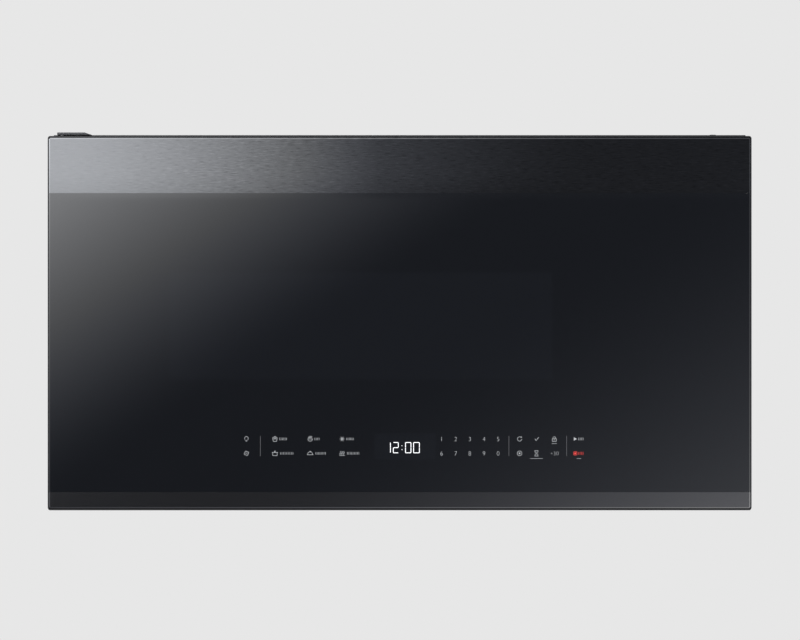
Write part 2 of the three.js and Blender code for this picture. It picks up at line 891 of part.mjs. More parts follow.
function lampHolder() {
  const rim = block(
    around(0, lampWidth / 2 + holderRim),
    around(0, lampDepth / 2 + holderRim),
    [sheet, sheet + holderWall],
  );
  const cup = block(
    around(0, lampWidth / 2 + fit + holderWall),
    around(0, lampDepth / 2 + fit + holderWall),
    [sheet, sheet + holderHeight],
  );
  const mouth = block(
    around(0, lampWidth / 2 + fit),
    around(0, lampDepth / 2 + fit),
    [0, sheet + holderHeight - holderWall],
  );
  return cut(join(rim, cup), mouth);
}

function blowerHousing() {
  const x = around(0, blowerWidth / 2);
  const z = around(motorAxisZ, blowerHousingHeight / 2);
  const insideY = [blowerY[0] - overlap, blowerY[1] - blowerWall];
  const inside = block(grow(x, -blowerWall), insideY, grow(z, -blowerWall));
  const inlets = bore('x', motorAxisY, motorAxisZ, blowerInletRadius, grow(x, overlap));
  return cut(block(x, blowerY, z), inside, inlets);
}

function blowerMotor() {
  const x = around(0, blowerMotorLength / 2);
  const foot = block(
    around(0, blowerMotorLength / 4),
    around(motorAxisY, blowerMotorRadius / 2),
    [motorAxisZ - blowerHousingHeight / 2 + blowerWall, motorAxisZ - blowerMotorRadius + 3],
  );
  return cut(
    join(rod('x', motorAxisY, motorAxisZ, blowerMotorRadius, x), foot),
    bore('x', motorAxisY, motorAxisZ, blowerShaftRadius + turnGap, grow(x, overlap), 16),
  );
}

// Squirrel-cage wheel with its hub disc at x = 0 and its open ring at the far end.
function blowerWheel() {
  const bladeInner = wheelRadius - wheelBladeDepth;
  const disc = rod('x', 0, 0, wheelRadius, [0, 2]);
  const ring = cut(
    rod('x', 0, 0, wheelRadius, [wheelLength - 3, wheelLength]),
    rod('x', 0, 0, bladeInner, [wheelLength - 3 - overlap, wheelLength + overlap]),
  );
  const blades = Array.from({ length: wheelBladeCount }, (_, i) => {
    const blade = new THREE.BoxGeometry(wheelLength - 3, wheelBladeThickness, wheelBladeDepth - 1.2);
    blade.rotateX(THREE.MathUtils.degToRad(25));
    blade.translate(wheelLength / 2, 0, wheelRadius - wheelBladeDepth / 2 - 0.4);
    blade.rotateX((2 * Math.PI * i) / wheelBladeCount);
    return solid(blade);
  });
  const shaft = rod('x', 0, 0, blowerShaftRadius, [-wheelEndGap - shaftEngagement, overlap], 16);
  return join(disc, ring, shaft, ...blades);
}

function mirroredX(body) {
  const mesh = toGeometry(body);
  mesh.scale(-1, 1, 1);
  return solid(mesh);
}

// Tray on the cavity's roof from the blower's mouth to the louvre, closed beside the blower.
function exhaustDuct() {
  const y = [innerFront + fit, blowerY[0]];
  const top = innerTop - fit;
  const floorTop = cavityOuterTop + ductWall;
  const shell = cut(
    block(around(0, ductHalf), y, [cavityOuterTop, top]),
    block(around(0, ductHalf - ductWall), [y[0] + ductWall, y[1] - ductWall], [floorTop, top + overlap]),
  );
  const mouth = block(
    around(0, blowerWidth / 2 - blowerWall),
    [y[1] - ductWall - overlap, y[1] + overlap],
    [floorTop + blowerWall, top + overlap],
  );
  return cut(shell, mouth);
}

function charcoalFilter() {
  const x = around(0, ductHalf - ductWall - fit);
  const y = [charcoalY, charcoalY + charcoalThickness];
  const z = [cavityOuterTop + ductWall + fit, innerTop - louvreThickness];
  const faceX = grow(x, -charcoalBorder);
  const faceZ = grow(z, -charcoalBorder);
  return cut(
    block(x, y, z),
    block(faceX, [y[0] - overlap, y[0] + charcoalPocket], faceZ),
    block(faceX, [y[1] - charcoalPocket, y[1] + overlap], faceZ),
  );
}

const hood = assembly('hood');
for (const [side, sign] of [['left', -1], ['right', 1]]) {
  const filterPlace = [sign * filterX, filterY, cabinetBottom];
  place(hood, `grease_filter_frame_${side}`, greaseFilterFrame(), finishes.aluminium, filterPlace);
  place(hood, `grease_filter_mesh_${side}`, greaseFilterMesh(), finishes.aluminium, filterPlace);
  const lampPlace = [sign * lampX, lampY, cabinetBottom];
  place(hood, `cooktop_lamp_lens_${side}`, lampLens(), finishes.clearGlass, lampPlace);
  place(hood, `cooktop_lamp_holder_${side}`, lampHolder(), finishes.whitePlastic, lampPlace);
  const wheel = sign > 0 ? blowerWheel() : mirroredX(blowerWheel());
  const wheelX = sign * (blowerMotorLength / 2 + wheelEndGap);
  place(hood, `blower_wheel_${side}`, wheel, finishes.blackPlastic, [wheelX, motorAxisY, motorAxisZ]);
}
place(hood, 'blower_housing', blowerHousing(), finishes.steel);
place(hood, 'blower_motor', blowerMotor(), finishes.steel);
place(hood, 'exhaust_duct', exhaustDuct(), finishes.steel);
place(hood, 'charcoal_filter', charcoalFilter(), finishes.charcoal);

// ---------------------------------------------------------------- cavity and turntable

function cavityBox() {
  const outer = block(
    grow(cavity.x, cavityWall),
    [cavity.y[0], cavity.y[1] + cavityWall],
    grow(cavity.z, cavityWall),
  );
  const wall = [cavity.x[1] - overlap, cavityOuterRight + overlap];
  const floor = [cavityOuterFloor - overlap, cavityFloor + overlap];
  return cut(
    outer,
    block(cavity.x, [cavity.y[0] - overlap, cavity.y[1]], cavity.z),
    bore('z', cavityCentreX, cavityCentreY, couplerShaftRadius + couplerShaftRoom, floor, 16),
    block(wall, around(guideY, feedWidth / 2), around(guideZ, feedHeight / 2)),
    block(wall, around(cavityLampY, lampWindow / 2), around(cavity.z[1] - cavityLampDrop, lampWindow / 2)),
  );
}

function micaCover() {
  return block(
    [cavity.x[1] - micaThickness, cavity.x[1]],
    around(guideY, feedWidth / 2 + micaMargin),
    around(guideZ, feedHeight / 2 + micaMargin),
  );
}

function cavityLamp() {
  return block(
    [cavityOuterRight, cavityOuterRight + lampBodyDepth],
    around(cavityLampY, lampBodyWidth / 2),
    around(cavity.z[1] - cavityLampDrop, lampBodyHeight / 2),
  );
}

const rollerAxis = cavityFloor + rollerRadius;
const trayBottom = cavityFloor + 2 * rollerRadius;

function glassTray() {
  const dish = turned([
    [0, trayBottom],
    [trayRadius - trayWell + 2, trayBottom],
    [trayRadius - 3, trayBottom + trayRim - trayThickness],
    [trayRadius, trayBottom + trayRim - 1],
    [trayRadius - 2, trayBottom + trayRim],
    [trayRadius - trayLip, trayBottom + trayRim],
    [trayRadius - trayWell, trayBottom + trayThickness],
    [0, trayBottom + trayThickness],
  ], 48);
  const pegs = [0, 1, 2].map((i) => {
    const angle = ((2 * i + 1) * Math.PI) / 3;
    const [x, y] = [pegCircle * Math.cos(angle), pegCircle * Math.sin(angle)];
    return rod('z', x, y, pegRadius, [trayBottom - pegLength, trayBottom + overlap], 12);
  });
  return join(dish, ...pegs);
}

// Three-armed hub that turns the tray by its pegs; its shaft goes down into the motor.
function tableCoupler() {
  const hubZ = [cavityFloor + fit, trayBottom - fit];
  const arms = [0, 1, 2].map((i) => {
    const arm = new THREE.BoxGeometry(couplerArm, 6, 4);
    arm.translate(couplerArm / 2, 0, trayBottom - 4);
    arm.rotateZ((2 * Math.PI * i) / 3);
    return solid(arm);
  });
  return join(
    rod('z', 0, 0, couplerRadius, hubZ),
    rod('z', 0, 0, couplerShaftRadius, [cavityOuterFloor - couplerShaftLength, hubZ[0] + overlap], 16),
    ...arms,
  );
}

function rollerRing() {
  const inner = rollerOrbit - rollerWidth / 2 - 3 - ringWidth;
  const z = around(rollerAxis, ringThickness / 2);
  const ring = turned([
    [inner, z[0]],
    [inner + ringWidth, z[0]],
    [inner + ringWidth, z[1]],
    [inner, z[1]],
    [inner, z[0]],
  ], 36);
  const axles = Array.from({ length: rollerCount }, (_, i) => {
    const length = rollerOrbit + rollerWidth / 2 + 2 - inner - 2;
    const axle = new THREE.CylinderGeometry(axleRadius, axleRadius, length, 12);
    axle.rotateZ(-Math.PI / 2);
    axle.translate(inner + 2 + length / 2, 0, rollerAxis);
    axle.rotateZ((2 * Math.PI * i) / rollerCount);
    return solid(axle);
  });
  return join(ring, ...axles);
}

function roller() {
  const x = around(rollerOrbit, rollerWidth / 2);
  return cut(
    rod('x', 0, 0, rollerRadius - fit, x),
    bore('x', 0, 0, axleRadius + turnGap, grow(x, overlap), 16),
  );
}

function tableMotor() {
  const top = cavityOuterFloor;
  return cut(
    rod('z', 0, 0, tableMotorRadius, [top - tableMotorHeight, top]),
    bore('z', 0, 0, couplerShaftRadius + turnGap, [top - couplerShaftLength - 1, top + overlap], 16),
  );
}

const oven = assembly('oven');
const tableCentre = [cavityCentreX, cavityCentreY, 0];
place(oven, 'cavity_box', cavityBox(), finishes.enamel);
place(oven, 'mica_cover', micaCover(), finishes.mica);
place(oven, 'cavity_lamp', cavityLamp(), finishes.whitePlastic);
place(oven, 'glass_tray', glassTray(), finishes.clearGlass, tableCentre);
place(oven, 'turntable_coupler', tableCoupler(), finishes.whitePlastic, tableCentre);
place(oven, 'roller_ring', rollerRing(), finishes.whitePlastic, tableCentre);
for (let i = 0; i < rollerCount; i += 1) {
  const axlePlace = [cavityCentreX, cavityCentreY, rollerAxis];
  place(oven, `roller_${i + 1}`, roller(), finishes.whitePlastic, axlePlace, (2 * Math.PI * i) / rollerCount);
}
place(oven, 'turntable_motor', tableMotor(), finishes.steel, tableCentre);

// ---------------------------------------------------------------- microwave circuit and cooling

const guideX = [cavityOuterRight, cavityOuterRight + guideDepth];

function waveguide() {
  return cut(
    block(guideX, around(guideY, guideWidth / 2), around(guideZ, guideHeight / 2)),
    block(
      [guideX[0] - overlap, guideX[1] - guideWall],
      around(guideY, guideWidth / 2 - guideWall),
      around(guideZ, guideHeight / 2 - guideWall),
    ),
    bore('x', guideY, guideZ, antennaRadius + fit, grow(guideX, overlap), 16),
  );
}

// Finned anode block with its antenna dome reaching into the waveguide.
function magnetron() {
  const start = guideX[1];
  const pitch = (magnetronLength - finThickness) / (finCount - 1);
  const fins = Array.from({ length: finCount }, (_, i) => block(
    [start + i * pitch, start + i * pitch + finThickness],
    around(guideY, magnetronWidth / 2),
    around(guideZ, magnetronHeight / 2),
  ));
  const core = rod('x', guideY, guideZ, finCoreRadius, [start, start + magnetronLength], 16);
  const antenna = rod('x', guideY, guideZ, antennaRadius, [start - antennaLength, start + overlap], 16);
  return join(core, antenna, ...fins);
}

const coilWindow = (transformerWidth - 4 * transformerLeg) / 2;

function transformerCore() {
  const z = [0, transformerHeight];
  const y = around(0, transformerDepth / 2);
  const windows = [-1, 1].map((side) => block(
    around(side * (transformerLeg + coilWindow / 2), coilWindow / 2),
    grow(y, overlap),
    grow(z, -transformerYoke),
  ));
  return cut(block(around(0, transformerWidth / 2), y, z), ...windows);
}

function transformerWindings() {
  const z = grow([0, transformerHeight], -transformerYoke - fit);
  return cut(
    block(
      around(0, transformerLeg + coilWindow - fit),
      around(0, transformerDepth / 2 + windingBulge),
      z,
    ),
    block(around(0, transformerLeg + fit), around(0, transformerDepth / 2 + fit), grow(z, overlap)),
  );
}

function capacitor() {
  const outline = roundedRectangle(capacitorWidth / 2, capacitorDepth / 2, capacitorDepth / 2 - 1);
  const can = prism('z', outline, [0, capacitorHeight]);
  const terminals = [-1, 1].map((side) => rod(
    'z',
    side * capacitorWidth / 4,
    0,
    terminalRadius,
    [capacitorHeight - overlap, capacitorHeight + terminalHeight],
    8,
  ));
  return join(can, ...terminals);
}

const shroudX = [cavityOuterRight + fit, innerHalf - fit];

function fanShroud() {
  const plate = block(shroudX, [fanY, fanY + fanPlate], around(fanZ, fanPlateHeight / 2));
  const collar = rod('y', bayCentreX, fanZ, fanHole + 2, [fanY - fanCollar, fanY + overlap], 32);
  const through = grow([fanY - fanCollar, fanY + fanPlate], overlap);
  const opening = bore('y', bayCentreX, fanZ, fanHole, through, 32);
  const strutY = [fanY + fanPlate - overlap, fanY + 2 * fanPlate];
  const strut = block(around(bayCentreX, fanHole + 6), strutY, around(fanZ, fanStrut));
  const shaftHole = bore('y', bayCentreX, fanZ, fanShaftRadius + 1, grow(strutY, overlap), 16);
  return cut(join(cut(join(plate, collar), opening), strut), shaftHole);
}

function fanMotor() {
  const y = [fanY + 2 * fanPlate, fanY + 2 * fanPlate + fanMotorDepth];
  return cut(
    block(around(bayCentreX, fanMotorSize / 2), y, around(fanZ, fanMotorSize / 2)),
    bore('y', bayCentreX, fanZ, fanShaftRadius + turnGap, [y[0] - overlap, y[0] + shaftEngagement + 2], 16),
  );
}

// Hub at the origin with its shaft along +y into the motor.
function fanBlade() {
  const hubLength = fanCollar - 4;
  const hub = rod('y', 0, 0, fanHub, [-hubLength, 0]);
  const shaft = rod('y', 0, 0, fanShaftRadius, [-overlap, 2 * fanPlate + 1 + shaftEngagement], 16);
  const reach = fanRadius - fanHub;
  const blades = Array.from({ length: fanBlades }, (_, i) => {
    const blade = new THREE.BoxGeometry(fanBladeWidth, fanBladeThickness, reach + 3);
    blade.rotateZ(THREE.MathUtils.degToRad(fanBladeTurn));
    blade.translate(0, -hubLength / 2, fanHub - 3 + (reach + 3) / 2);
    blade.rotateY((2 * Math.PI * i) / fanBlades);
    return solid(blade);
  });
  return join(hub, shaft, ...blades);
}

const bay = assembly('component_bay');
place(bay, 'waveguide', waveguide(), finishes.steel);
place(bay, 'magnetron', magnetron(), finishes.aluminium);
const transformerPlace = [bayCentreX, transformerY, baseTop];
place(bay, 'transformer_core', transformerCore(), finishes.steel, transformerPlace);
place(bay, 'transformer_windings', transformerWindings(), finishes.winding, transformerPlace);
place(bay, 'hv_capacitor', capacitor(), finishes.aluminium, [bayCentreX, capacitorY, baseTop]);
place(bay, 'cooling_fan_shroud', fanShroud(), finishes.whitePlastic);
place(bay, 'cooling_fan_motor', fanMotor(), finishes.steel);
place(bay, 'cooling_fan_blade', fanBlade(), finishes.blackPlastic, [bayCentreX, fanY - 1, fanZ]);

// ---------------------------------------------------------------- latch board and interlock switches

function latchBoard() {
  const pockets = [hookZ, -hookZ].map((z) => hookSlot(z, [innerFront - overlap, pocketY]));
  const plungerHoles = [hookZ, -hookZ].map((z) => block(
    around(latchX, plungerSize / 2 + fit),
    [pocketY - overlap, latchBoardBackY + overlap],
    around(z, plungerSize / 2 + fit),
  ));
  return cut(
    block(
      around(latchX, latchBoardHalfWidth),
      [innerFront, latchBoardBackY],
      around(0, latchBoardHalfHeight),
    ),
    ...pockets,
    ...plungerHoles,
  );
}

function interlockSwitch() {
  return cut(
    block(around(0, switchWidth / 2), [0, switchDepth], around(0, switchHeight / 2)),
    block(
      around(0, plungerSize / 2 + fit),
      [-overlap, switchDepth - 2],
      around(0, plungerSize / 2 + fit),
    ),
  );
}

function switchPlunger() {
  return block(around(0, plungerSize / 2), [0, plungerLength], around(0, plungerSize / 2));
}

const interlock = assembly('interlock');
place(interlock, 'latch_board', latchBoard(), finishes.blackPlastic);
for (const [level, z] of [['upper', hookZ], ['lower', -hookZ]]) {
  const switchPlace = [latchX, latchBoardBackY, z];
  place(interlock, `interlock_switch_${level}`, interlockSwitch(), finishes.blackPlastic, switchPlace);
  const plungerPlace = [latchX, hookTipY + fit, z];
  place(interlock, `switch_plunger_${level}`, switchPlunger(), finishes.whitePlastic, plungerPlace);
}

export default microwave;
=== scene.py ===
"""An over-the-range microwave oven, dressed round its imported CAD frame."""

import json
import math

import bmesh
import bpy
from mathutils import Matrix, Vector


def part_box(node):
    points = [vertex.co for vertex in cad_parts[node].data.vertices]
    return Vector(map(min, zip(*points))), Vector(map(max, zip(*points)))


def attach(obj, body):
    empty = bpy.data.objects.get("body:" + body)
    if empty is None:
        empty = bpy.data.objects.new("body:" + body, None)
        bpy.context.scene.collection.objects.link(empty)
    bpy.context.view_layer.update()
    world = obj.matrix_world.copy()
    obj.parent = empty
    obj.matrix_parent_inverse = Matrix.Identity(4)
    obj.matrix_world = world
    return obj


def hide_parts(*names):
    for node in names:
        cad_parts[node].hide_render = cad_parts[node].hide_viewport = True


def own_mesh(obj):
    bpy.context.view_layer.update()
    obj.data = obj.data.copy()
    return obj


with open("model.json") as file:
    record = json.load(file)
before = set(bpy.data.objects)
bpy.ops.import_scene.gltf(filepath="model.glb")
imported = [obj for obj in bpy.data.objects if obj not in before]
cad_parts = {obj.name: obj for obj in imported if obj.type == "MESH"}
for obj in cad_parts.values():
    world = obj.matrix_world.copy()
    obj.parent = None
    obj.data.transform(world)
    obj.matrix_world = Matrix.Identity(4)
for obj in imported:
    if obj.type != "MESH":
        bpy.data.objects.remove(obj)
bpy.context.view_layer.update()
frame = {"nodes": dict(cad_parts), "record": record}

bl_info = {
    "name": "Over-the-range microwave oven",
    "version": (1, 0, 0),
    "blender": (4, 5, 0),
    "location": "View3D > Sidebar > Microwave",
    "description": "Builds the oven's finished surfaces, printed signs and filters round its frame",
    "category": "Object",
}

MM = 0.001
TOUCH = 1e-6  # metres within which two places count as one
NODES = frame["nodes"]
BEHAVIOUR = frame["record"]["behaviour"]
BODY_OF = {node: body for body, nodes in BEHAVIOUR["bodies"].items() for node in nodes}


# --- settings


def length(name, description, default):
    return bpy.props.FloatProperty(
        name=name, description=description, default=default, unit="LENGTH", subtype="DISTANCE"
    )


def colour(name, description, default):
    return bpy.props.FloatVectorProperty(
        name=name, description=description, default=default, subtype="COLOR", size=3
    )


def power(name, description, default):
    return bpy.props.FloatProperty(
        name=name, description=description, default=default, unit="POWER"
    )


class DoorSettings(bpy.types.PropertyGroup):
    """Sizes and colours of the door's face."""

    bevel: length("Face bevel", "Width of the bright bevel round the face panels", 1.05 * MM)
    corner: length("Corner radius", "Radius of the face panels' outer corners", 1.6 * MM)
    rim_softening: length("Rim softening", "Rounding of the edge frame's corners", 0.35 * MM)
    rim_set_back: length("Rim set back", "How far the rim lies behind the panels", 1.4 * MM)
    rim_drop: length("Rim drop", "How far the frame hangs below its solid", 0.35 * MM)
    bottom_lap: length("Bottom lap", "How far the rim covers the bottom band's edge", 0.5 * MM)
    top_lap: length("Top lap", "How far the rim covers the top band's edge", 0.7 * MM)
    seam: length("Seam", "Gap between the glass and the bands", 0.03 * MM)
    ink_width: length("Line width", "Width of the printed lines", 0.42 * MM)
    glass: colour("Glass", "Body colour of the black glass", (0.0051, 0.0060, 0.0082))
    band: colour("Top band", "Colour of the brushed top band", (0.0745, 0.0760, 0.0785))
    # Lighter than the top band: painted light, for the brighter reflection the brushed grain
    # spreads on the bottom band.
    lower_band: colour("Bottom band", "Colour of the brushed bottom band", (0.106, 0.105, 0.105))
    ink: colour("Key lines", "Colour of the printed key lines", (0.40, 0.41, 0.425))


class CasingSettings(bpy.types.PropertyGroup):
    """Sizes and colours of the casing."""

    softening: length("Edge softening", "Rounding of the folded sheet's edges", 0.4 * MM)
    paint: colour("Paint", "Colour of the painted casing", (0.030, 0.031, 0.034))
    strand_pitch: length("Filter mesh pitch", "Size of a diamond of the filter's mesh", 4.2 * MM)


class StageSettings(bpy.types.PropertyGroup):
    """The camera, floor and light."""

    distance: length("Camera distance", "From the door's face to the camera", 30.0)
    view_width: length("View width", "Width that the picture covers at the door's face", 0.8626)
    floor_height: length("Floor height", "Height of the floor, from the door's middle", -0.45)
    backdrop: colour("Backdrop", "Pale grey behind the oven", (0.799, 0.799, 0.799))
    key_power: power("Key lamp", "Power of the lamp above the oven's left", 36.0)
    fill_power: power("Fill lamp", "Power of the lamp at the oven's right", 16.0)


# --- materials


def worked(operation, turned=False):
    """A way to work on a Level: it adds one Math node."""

    def method(level, *others):
        values = (*others, level) if turned else (level, *others)
        node = level.surface.add("ShaderNodeMath", operation=operation)
        for value, socket in zip(values, node.inputs):
            level.surface.feed(value, socket)
        return Level(level.surface, node.outputs[0])

    return method


class Level:
    """A number that a material works out at each point, open to plain arithmetic."""

    def __init__(self, surface, socket):
        self.surface = surface
        self.socket = socket

    __add__ = worked("ADD")
    __sub__ = worked("SUBTRACT")
    __rsub__ = worked("SUBTRACT", turned=True)
    __mul__ = worked("MULTIPLY")
    __pow__ = worked("POWER")
    __abs__ = worked("ABSOLUTE")
    at_least = worked("MAXIMUM")
    at_most = worked("MINIMUM")
    sine = worked("SINE")

    def spread(self, low, high, to_low=0.0, to_high=1.0, smooth=False):
        """Runs from to_low to to_high as the number goes from low to high."""
        kind = "SMOOTHSTEP" if smooth else "LINEAR"
        node = self.surface.add("ShaderNodeMapRange", interpolation_type=kind)
        self.surface.feed(self, node.inputs["Value"])
        ends = {"From Min": low, "From Max": high, "To Min": to_low, "To Max": to_high}
        for socket, value in ends.items():
            node.inputs[socket].default_value = value
        return Level(self.surface, node.outputs["Result"])


def tinted(base, by):
    return tuple(part * by for part in base)


class Surface:
    """A node material on one Principled shader, with its patterns on Object coordinates."""

    def __init__(self, name, base, roughness, metallic=0.0, **constants):
        self.material = bpy.data.materials.new(name)
        self.material.use_nodes = True
        self.tree = self.material.node_tree
        self.shader = self.tree.nodes["Principled BSDF"]
        self.place = self.add("ShaderNodeTexCoord").outputs["Object"]
        self.base = base
        constants.update(Base_Color=(*base, 1), Roughness=roughness, Metallic=metallic)
        for socket, value in constants.items():
            self.shader.inputs[socket.replace("_", " ")].default_value = value

    def add(self, kind, **settings):
        node = self.tree.nodes.new(kind)
        for key, value in settings.items():
            setattr(node, key, value)
        return node

    def feed(self, value, socket):
        """Links what works a value out, or sets a plain number or colour."""
        if isinstance(value, Level):
            value = value.socket
        if isinstance(value, bpy.types.NodeSocket):
            self.tree.links.new(value, socket)
        else:
            socket.default_value = (*value, 1) if isinstance(value, tuple) else value

    def axes(self):
        node = self.add("ShaderNodeSeparateXYZ")
        self.feed(self.place, node.inputs[0])
        return [Level(self, socket) for socket in node.outputs]

    def pattern(self, kind, scale, **sockets):
        """A texture node; scale is its fineness in all directions, or in each."""
        mapping = self.add("ShaderNodeMapping")
        self.feed(self.place, mapping.inputs["Vector"])
        scale = scale if isinstance(scale, tuple) else (scale,) * 3
        mapping.inputs["Scale"].default_value = scale
        node = self.add(kind)
        self.feed(mapping.outputs["Vector"], node.inputs["Vector"])
        for socket, value in {"Scale": 1, **sockets}.items():
            node.inputs[socket].default_value = value
        return node

    def noise(self, scale, detail=3.0, rough=0.55):
        node = self.pattern("ShaderNodeTexNoise", scale, Detail=detail, Roughness=rough)
        return Level(self, node.outputs["Fac"])

    def cells(self, scale):
        return Level(self, self.pattern("ShaderNodeTexVoronoi", scale).outputs["Distance"])

    def mix(self, amount, first, second):
        node = self.add("ShaderNodeMix", data_type="RGBA")
        for value, number in ((amount, 0), (first, 6), (second, 7)):
            self.feed(value, node.inputs[number])
        return node.outputs[2]

    def paint(self, source):
        self.feed(source, self.shader.inputs["Base Color"])

    def shades(self, amount, darker, lighter):
        """Colour that runs between a darker and a lighter version of the base."""
        self.paint(self.mix(amount, tinted(self.base, darker), tinted(self.base, lighter)))

    def gloss(self, amount, low, high):
        self.feed(amount.spread(0.0, 1.0, low, high), self.shader.inputs["Roughness"])

    def bumped(self, height, distance, strength):
        """The finished material, with its relief."""
        node = self.add("ShaderNodeBump")
        for socket, value in (("Distance", distance), ("Strength", strength), ("Height", height)):
            self.feed(value, node.inputs[socket])
        self.feed(node.outputs["Normal"], self.shader.inputs["Normal"])
        return self.material


def brushed(name, base, roughness, contrast):
    """Black stainless: fine level grain lines of uneven length."""
    surface = Surface(name, base, roughness, 1.0)
    dashes = surface.noise((115.0, 115.0, 1000.0), 2.0, 0.6)
    hairs = surface.noise((30.0, 30.0, 2600.0), 2.0, 0.7)
    marks = (dashes.spread(0.56, 0.68) - dashes.spread(0.44, 0.32)) * 0.5 + (hairs - 0.5) * 0.35
    clear = surface.axes()[0].spread(-0.36, -0.12, 0.2, 1.0, True)
    surface.shades(marks * clear + 0.5, 1 - contrast, 1 + contrast)
    surface.gloss(dashes, roughness * 1.3, roughness * 0.7)
    return surface.bumped(hairs, 0.004 * MM, 0.3)


def moulded(name, base, roughness, grain_size=0.5 * MM, depth=0.03 * MM, shine=0.42):
    """Moulded plastic with a fine spark-eroded grain and faint flow marks."""
    surface = Surface(name, base, roughness, Specular_IOR_Level=shine)
    flow = surface.noise(14.0)
    surface.shades(flow, 0.86, 1.16)
    surface.gloss(flow, roughness * 0.85, roughness * 1.15)
    return surface.bumped(surface.cells(1 / grain_size), depth, 0.5)


def painted(name, base, roughness):
    """Baked powder paint: orange peel, and a little dust-dull variation."""
    surface = Surface(name, base, roughness, Coat_Weight=0.12, Coat_Roughness=0.3)
    cloud = surface.noise(9.0, 4.0)
    surface.shades(cloud, 0.88, 1.14)
    surface.gloss(cloud, roughness * 0.9, roughness * 1.12)
    return surface.bumped(surface.noise(900.0, 2.0, 0.5), 0.02 * MM, 0.5)


def sheet_metal(name, base, roughness, grain=(6.0, 900.0, 900.0), spangle=0.0, contrast=0.2):
    """Bare sheet with rolling lines, and zinc spangle where it has any."""
    surface = Surface(name, base, roughness, 1.0)
    rolled = surface.noise(grain, 3.0, 0.6)
    tone = rolled * 0.4 + surface.noise(11.0, 4.0) * 0.6
    if spangle:
        flakes = surface.pattern("ShaderNodeTexVoronoi", 150.0)
        parts = surface.add("ShaderNodeSeparateColor")
        surface.feed(flakes.outputs["Color"], parts.inputs[0])
        tone = tone * (1 - spangle) + Level(surface, parts.outputs[0]) * spangle
    surface.shades(tone, 1 - contrast, 1 + contrast)
    surface.gloss(tone, roughness * 0.8, roughness * 1.25)
    return surface.bumped(rolled, 0.01 * MM, 0.3)


def black_glass(name, base):
    """Printed black glass, painted a shade lighter over the viewing window and the clock: painted
    light for the inside and the display seen through the clearer glass there.
    """
    surface = Surface(name, base, 0.03, IOR=1.5)
    x, _, z = surface.axes()

    def pane(across, up):
        """1 in a rectangle; each way has its middle and where its soft edge starts and ends."""
        sides = abs(x - across[0]).spread(across[1], across[2], 1, 0, True)
        return sides * abs(z - up[0]).spread(up[1], up[2], 1, 0, True)

    window = pane((-0.0417, 0.2052, 0.2070), (-0.0033, 0.0569, 0.0587))
    clock = pane((0.0057, 0.0325, 0.0335), (-0.133, 0.0138, 0.0146))
    dots = surface.cells(1 / (1.1 * MM)).spread(0.20, 0.32)
    # Painted light: the glass between the window's printed dots, and over the clock, is painted
    # lighter for what shows through it.
    window_painted_light = surface.mix(window * dots, base, tinted(base, 1.3))
    surface.paint(surface.mix(clock, window_painted_light, tinted(base, 1.35)))
    surface.gloss(surface.noise((5.0, 5.0, 9.0), 4.0), 0.022, 0.045)
    return surface.material


def ink(name, base, strength):
    """Matt white ink that glows a little: for the clock the glow of its lit display, on the keys'
    print, stop sign and rules painted light.
    """
    surface = Surface(name, base, 0.5, Specular_IOR_Level=0.2,
                      Emission_Color=(*base, 1), Emission_Strength=strength)
    surface.shades(surface.noise(1400.0, 2.0), 0.9, 1.06)
    return surface.material


def clear_glass(name, tint, roughness):
    """Clear or smoked glass with a faint smear."""
    surface = Surface(name, tint, roughness, IOR=1.5, Transmission_Weight=0.92)
    smear = surface.noise(18.0, 4.0)
    surface.gloss(smear, roughness, roughness + 0.05)
    surface.shades(smear, 0.97, 1.0)
    return surface.material


def perforated(name, base, across, pitch):
    """Steel screen of round holes in rows, too fine to model one by one; the holes are painted
    near-black, painted shade for the dark seen through them.
    """
    surface = Surface(name, base, 0.4, 0.6)
    axes = surface.axes()
    rows = [(axes[number] * (math.tau / pitch)).sine() for number in across]
    hole = (rows[0] + rows[1]).spread(0.35, 0.75)
    # Painted shade: the holes are painted near-black for the dark seen through them.
    surface.paint(surface.mix(hole, base, (0.004, 0.004, 0.004)))
    surface.gloss(hole, 0.35, 0.8)
    return surface.bumped(1.0 - hole, 0.3 * MM, 0.8)


def wound(name, base, pitch):
    """Enamelled wire in close turns, painted darker between the turns and lighter on their crests:
    painted shade and highlight over the turns' relief.
    """
    surface = Surface(name, base, 0.35, 0.5)
    turns = (surface.axes()[2] * (math.tau / pitch)).sine().spread(-1, 1)
    # Painted shade and highlight: darker in the grooves between turns, lighter on their crests.
    surface.shades(turns, 0.55, 1.25)
    surface.gloss(surface.noise(40.0), 0.25, 0.5)
    return surface.bumped(turns, 0.3 * MM, 0.9)


def circuit_board(name, base):
    """Green lacquer over copper tracks."""
    surface = Surface(name, base, 0.4, Coat_Weight=0.3, Coat_Roughness=0.2)
    tracks = (surface.cells(260.0) * 30.0).sine().spread(0.2, 0.5)
    surface.shades(tracks, 0.6, 1.5)
    return surface.bumped(tracks, 0.05 * MM, 0.6)


def flecked(name, base, roughness, fleck, scale, amount=0.7):
    """Porcelain enamel, mica or charcoal: a body colour with uneven flecks."""
    surface = Surface(name, base, roughness)
    spots = surface.noise(scale, 5.0, 0.65).spread(0.52, 0.66)
    cloud = surface.noise(scale / 30)
    body = surface.mix(cloud, tinted(base, 0.92), tinted(base, 1.07))
    surface.paint(surface.mix(spots * amount, body, fleck))
    surface.gloss(cloud, roughness * 0.94, roughness * 1.06)
    return surface.bumped(spots, 0.02 * MM, 0.4)


FINISHES = {}


